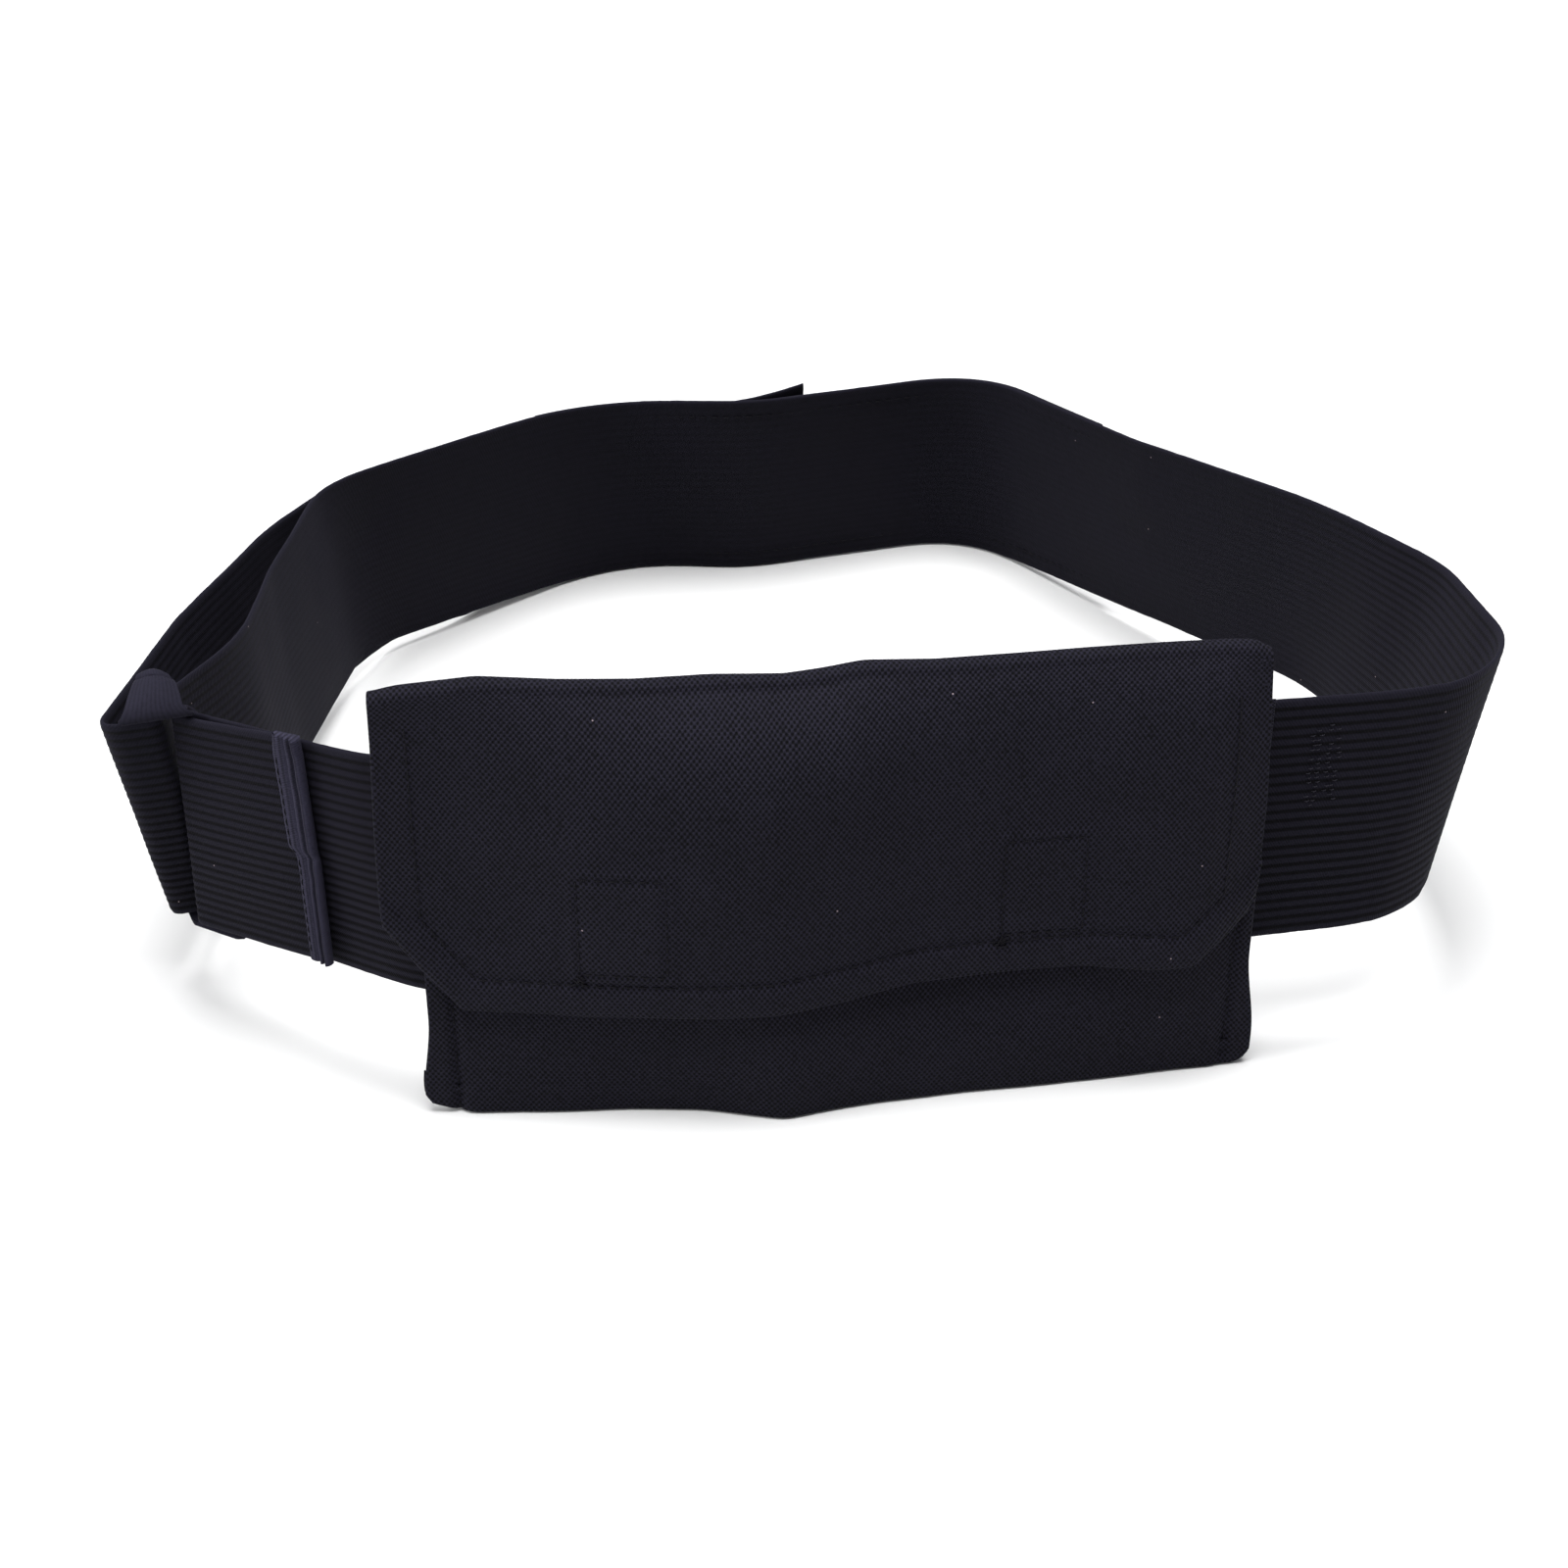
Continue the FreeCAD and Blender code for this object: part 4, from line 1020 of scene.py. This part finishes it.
SQUARES = {side: square_line(*edges) for side, edges in PATCHES.items()}


def flap_surface(across, height):
    """Y of the flap's front with its seams, its thicker hem and the patches showing through."""
    across, height = np.asarray(across, float), np.asarray(height, float)
    depth = flap_depth(across, height) + groove(distance_to(FLAP_FOOT_LINE, across, height), 0.42, 1.0)
    for side_line in FLAP_SIDE_LINES:
        depth = depth + groove(distance_to(side_line, across, height), 0.06)
    edge = (height - flap_hem(across)) * 0.85
    depth = depth - 0.45 * (1 - ease(edge, FLAP_SEAM - 2.5, FLAP_SEAM - 0.3)) * ease(edge, -1, 2)
    for side, (x0, x1, z0, z1) in PATCHES.items():
        inside = (ease(across, x0 - 1, x0 + 0.8) * ease(-across, -x1 - 1, -x1 + 0.8)
                  * ease(height, z0 - 1, z0 + 0.8) * ease(-height, -z1 - 1, -z1 + 0.8))
        depth = depth - PATCH_RELIEF * inside + groove(distance_to(SQUARES[side], across, height), 0.45, 0.8)
    return depth


def flap_grid():
    """The flap's outer layer: up behind, over the fold and down in front."""
    across = np.linspace(FLAP_LEFT, FLAP_RIGHT, 200)
    top = crest(across)
    rows = []
    for share in np.linspace(0, 1, 5)[:-1]:
        rows.append((np.full_like(across, ROLL_CENTRE + ROLL_RADIUS), FLAP_BACK + (top - FLAP_BACK) * share))
    for angle in np.linspace(0, math.pi, 10)[:-1]:
        rows.append((np.full_like(across, ROLL_CENTRE + ROLL_RADIUS * math.cos(angle)),
                     top + ROLL_RADIUS * math.sin(angle)))
    for share in np.linspace(0, 1, 96):
        height = top + (flap_hem(across) - top) * share
        rows.append((flap_surface(across, height), height))
    grid = np.array([np.stack([across, depth, height], -1) for depth, height in rows])
    drawn_in = FLAP_TAPER * ease(grid[..., 2], 60, 100)
    grid[..., 0] -= drawn_in * grid[..., 0] / FLAP_RIGHT
    return grid


flap_points = flap_grid()
flap = panel("flap_cloth", flap_points, FLAP_THICKNESS, CLOTH, None, "flap_outer", rim=3)
lining_points = (flap_points - grid_normals(flap_points) * (FLAP_THICKNESS + 0.08))[7:-2, 1:-1]
lining = panel("flap_lining_cloth", lining_points, LINING_THICKNESS, LINING, None, "flap_lining")
flap_places = surface_row(FLAP_SEAM_LINE, flap_surface, 0.0, pitch=2.9)
sew("flap_seams", flap_places, "flap", "flap_stitching", 2.2, 0.4)

# Hook patches behind the flap and loop patches on the front panel, with loose knots below the hook patches
SQUARE_PITCH, KNOTS = 2.7, 7
HOOK_SET_IN = FLAP_THICKNESS + LINING_THICKNESS + 0.15
square_places, loop_places, small_sheets = [], [], []
generator = np.random.default_rng(7)
for side, (x0, x1, z0, z1) in PATCHES.items():
    square_places += surface_row(SQUARES[side], flap_surface, 0.0, pitch=SQUARE_PITCH)
    knot = np.array([x0 + (2.0 if side == "right" else 1.8), z0 - 0.2])
    for _ in range(KNOTS):
        x, z = knot + generator.normal(0, 0.8, 2)
        angle = generator.uniform(0, math.pi)
        square_places.append(((x, float(flap_surface(x, z)) - 0.2, z), (math.cos(angle), 0, math.sin(angle)),
                              (0, -1, 0)))
    hook_grid = strip_grid(x0, x1, z0, z1, flap_depth, 24, 28, -HOOK_SET_IN)
    hook = panel(f"hook_patch_{side}_face", hook_grid, 0.85, HOOK_TAPE, "flap", f"hook_patch_{side}")
    loop_grid = strip_grid(x0, x1, z0, z1, front_depth, 24, 28, 0.9)
    loop = panel(f"loop_patch_{side}_face", loop_grid, 0.8, LOOP_TAPE, "pouch", f"loop_patch_{side}")
    small_sheets.append((hook, x1 - x0, z1 - z0, "laid", ["flap_lining"]))
    small_sheets.append((loop, x1 - x0, z1 - z0, "laid", ["front_panel"]))
    loop_places += surface_row(SQUARES[side], front_depth, 0.95, pitch=SQUARE_PITCH)
sew("hook_patch_seams", square_places, "flap", "hook_patch_stitching", 2.0, 0.42)
sew("loop_patch_seams", loop_places, "pouch", "loop_patch_stitching", 2.0, 0.4)


# -------------------- stage, light and camera

FLOOR_REACH, FLOOR_DROP = 6.0, 0.0002
PAPER_NEAR, PAPER_FAR = colour(0.62, 0.62, 0.62), colour(0.92, 0.92, 0.92)
WORLD_COLOUR, WORLD_STRENGTH = colour(0.93, 0.95, 1.0), 0.24
floor_mesh = bpy.data.meshes.new("floor")
floor_corners = [(x * FLOOR_REACH, y * FLOOR_REACH, 0) for x, y in ((-1, -1), (1, -1), (1, 1), (-1, 1))]
floor_mesh.from_pydata(floor_corners, [], [(0, 1, 2, 3)])
floor = show("floor", floor_mesh)
floor.location.z = -FLOOR_DROP
floor_graph = Graph("floor_paper")
distance = floor_graph.node("ShaderNodeVectorMath", [floor_graph.space()], operation="LENGTH")
far = floor_graph.ramp(distance.outputs["Value"], 0.35, 0.75)
paper = floor_graph.blend(far, PAPER_NEAR, PAPER_FAR)
floor_graph.feed(floor_graph.shader.inputs["Base Color"], paper)
floor_graph.shader.inputs["Roughness"].default_value = 0.9
floor_mesh.materials.append(floor_graph.material)

world = bpy.data.worlds.new("studio")
bpy.context.scene.world = world
world.use_nodes = True
background = world.node_tree.nodes["Background"]
background.inputs[0].default_value = WORLD_COLOUR
background.inputs[1].default_value = WORLD_STRENGTH


def add_light(name, spot, size, power):
    """A soft square lamp that looks at the middle of the object."""
    lamp = bpy.data.lights.new(name, "AREA")
    lamp.shape = "SQUARE"
    lamp.size = size
    lamp.energy = power
    thing = show(name, lamp)
    thing.location = spot
    thing.rotation_euler = (Vector((0, 0, 0.05)) - Vector(spot)).to_track_quat("-Z", "Y").to_euler()


add_light("key_left", (-1.3, -0.3, 0.7), 0.8, 16)
add_light("top", (0.0, -0.2, 1.4), 1.0, 44)
add_light("fill_right", (1.1, -0.9, 0.9), 1.0, 2)

FOCAL_WIDTHS, SENSOR = 1.625, 36.0
ELEVATION, AZIMUTH = math.radians(31), math.radians(-6)
AIM_DEPTH, AIM_RIGHT, AIM_DOWN = 560.0, 12.06, 65.9
back_vector = Vector((math.sin(AZIMUTH) * math.cos(ELEVATION), -math.cos(AZIMUTH) * math.cos(ELEVATION),
                      math.sin(ELEVATION)))
right_vector = Vector((math.cos(AZIMUTH), math.sin(AZIMUTH), 0))
up_vector = back_vector.cross(right_vector)
camera_data = bpy.data.cameras.new("camera")
camera_data.sensor_width = SENSOR
camera_data.lens = FOCAL_WIDTHS * SENSOR
camera_data.clip_start = 0.01
camera = show("camera", camera_data)
stand = back_vector * AIM_DEPTH - right_vector * AIM_RIGHT + up_vector * AIM_DOWN
turn = Matrix((right_vector, up_vector, back_vector)).transposed().to_4x4()
camera.matrix_world = Matrix.Translation(Vector(place(0, 0, 0)) + stand * MM) @ turn
bpy.context.scene.camera = camera
bpy.context.scene.view_settings.view_transform = "Standard"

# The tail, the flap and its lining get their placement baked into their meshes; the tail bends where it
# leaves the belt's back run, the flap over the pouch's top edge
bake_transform(tail)
for layer in (flap, lining):
    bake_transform(layer)
